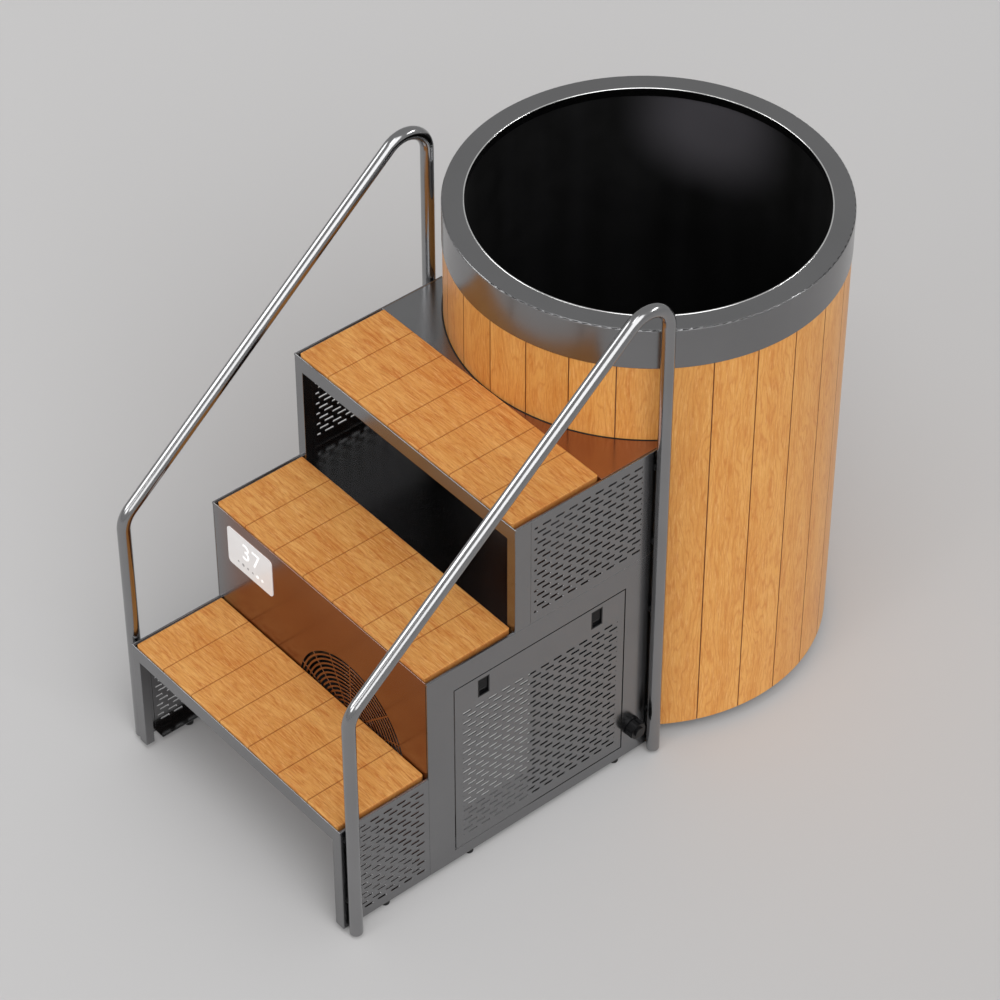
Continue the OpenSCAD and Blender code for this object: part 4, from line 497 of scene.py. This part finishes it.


# The chiller's casing is folded sheet, powder-coated in a pale grey with a fine orange-peel texture. It
# and the filter cartridge also glow a little, painted light that shows the casing white behind the door's
# slots, though it is no lamp. The shell of the compressor and the fan's motor are coated black.
def powder_coat(name, pale, grey, roughness, painted_glow=0.0):
    """A baked powder coat with a little dust on it. painted_glow is painted light that it gives off, though
    it is no lamp.
    """
    finish, tree, shader = new_finish(name, Emission_Color=linear("#ffffff"), Emission_Strength=painted_glow)
    place = millimetres(tree)
    dust = patches(tree, place, 60.0, detail=4.0, roughness=0.6)
    mottle(tree, shader, dust, (pale, grey), (0.4, 0.75), blur=(roughness - 0.05, roughness + 0.05))
    peel = patches(tree, place, 1.6, detail=1.0)
    relief = add(tree, "Bump", {"Height": peel, "Strength": 0.2, "Distance": 0.0002}).outputs[0]
    tree.links.new(relief, shader.inputs["Normal"])
    return finish


pale_coat_painted_glow = powder_coat("white_powder_coat_painted_glow", "#cfcfcd", "#c4c4c1", roughness=0.42, painted_glow=0.30)
black_coat = powder_coat("black_powder_coat", "#1b1b1c", "#262627", roughness=0.45)
dress(pale_coat_painted_glow, "chiller_casing", "filter_cartridge")
dress(black_coat, "compressor", "fan_motor")


# The refrigerant pipes are drawn copper, bent to shape and brazed, with a light tarnish. The
# condenser is a stack of rolled aluminium fins, left bare.
copper, tree, shader = new_finish("drawn_copper", Metallic=1.0)
tarnish = patches(tree, millimetres(tree), 22.0, detail=4.0, roughness=0.6)
mottle(tree, shader, tarnish, ("#c8815a", "#8f5236"), (0.4, 0.7), blur=(0.25, 0.42))
dress(copper, "refrigerant_pipes")

aluminium, tree, shader = new_finish("mill_finish_aluminium", Metallic=1.0)
rolled = patches(tree, millimetres(tree), (2.0, 60.0, 2.0))
mottle(tree, shader, rolled, ("#b9bbbe", "#cfd1d3"), blur=(0.30, 0.40))
dress(aluminium, "condenser")


# The control panel is white-backed glass set into the riser. Its digits and the last two of its key
# marks are lit from behind and the other marks are printed grey. All are raised here by a fraction of
# a millimetre, so that they are pieces of their own. Their places are from the panel's lower left.
PRINT_T = 0.0004
DIGIT_SIZE = 0.061
STROKE_TRIM = -0.0006
DIGIT_PLACE = (0.047, 0.042)
KEY_MARKS = 6
GREY_MARKS = 4
KEY_R = 0.0040
KEY_PITCH = 0.016
KEY_PLACE = (0.035, 0.022)
KEY_CORNERS = (3, 24, 4)

# The white glass itself gives off a faint light, painted light that keeps it pale in the shade under the
# tread.
panel_white, tree, shader = new_finish("white_glass_panel", Coat_Weight=0.5, Coat_Roughness=0.05,
                                       Roughness=0.3, Emission_Color=linear("#ffffff"),
                                       Emission_Strength=0.15)
mottle(tree, shader, patches(tree, millimetres(tree), 40.0), ("#e9e8e8", "#e3e2e2"))
dress(panel_white, "control_panel")

lit_white, tree, shader = new_finish("backlit_marks", Roughness=0.4, Emission_Color=linear("#ffffff"),
                                     Emission_Strength=0.6)
mottle(tree, shader, patches(tree, millimetres(tree), 8.0), ("#ffffff", "#f6f6f6"))

panel_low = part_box("control_panel")[0]
digits = primitive(bpy.ops.object.text_add, "read_out")
digits.data.body = "37"
digits.data.size = DIGIT_SIZE
digits.data.offset = STROKE_TRIM
digits.data.extrude = PRINT_T / 2
digits.data.space_character = 1.1
bpy.ops.object.convert(target="MESH")
digits = bpy.context.object
digits.rotation_euler = (math.pi / 2, 0, 0)
digits.location = (panel_low.x + DIGIT_PLACE[0], panel_low.y, panel_low.z + DIGIT_PLACE[1])
tidy_mesh(digits)
digits.data.materials.append(lit_white)
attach(digits, "tub_and_stairs")

print_grey, tree, shader = new_finish("printed_grey_marks", Roughness=0.5)
mottle(tree, shader, patches(tree, millimetres(tree), 3.0), ("#b9b9ba", "#9c9c9e"))
for i in range(KEY_MARKS):
    mark = primitive(bpy.ops.mesh.primitive_cylinder_add, "key_mark_%d" % (i + 1),
                     vertices=KEY_CORNERS[i % len(KEY_CORNERS)], radius=KEY_R, depth=PRINT_T,
                     rotation=(math.pi / 2, 0, 0),
                     location=(panel_low.x + KEY_PLACE[0] + i * KEY_PITCH, panel_low.y,
                               panel_low.z + KEY_PLACE[1]))
    bpy.ops.object.mode_set(mode="EDIT")
    bpy.ops.mesh.select_all(action="SELECT")
    bpy.ops.mesh.bevel(offset=PRINT_T / 4, segments=1, affect="EDGES")
    bpy.ops.object.mode_set(mode="OBJECT")
    tidy_mesh(mark)
    mark.data.materials.append(print_grey if i < GREY_MARKS else lit_white)
    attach(mark, "tub_and_stairs")
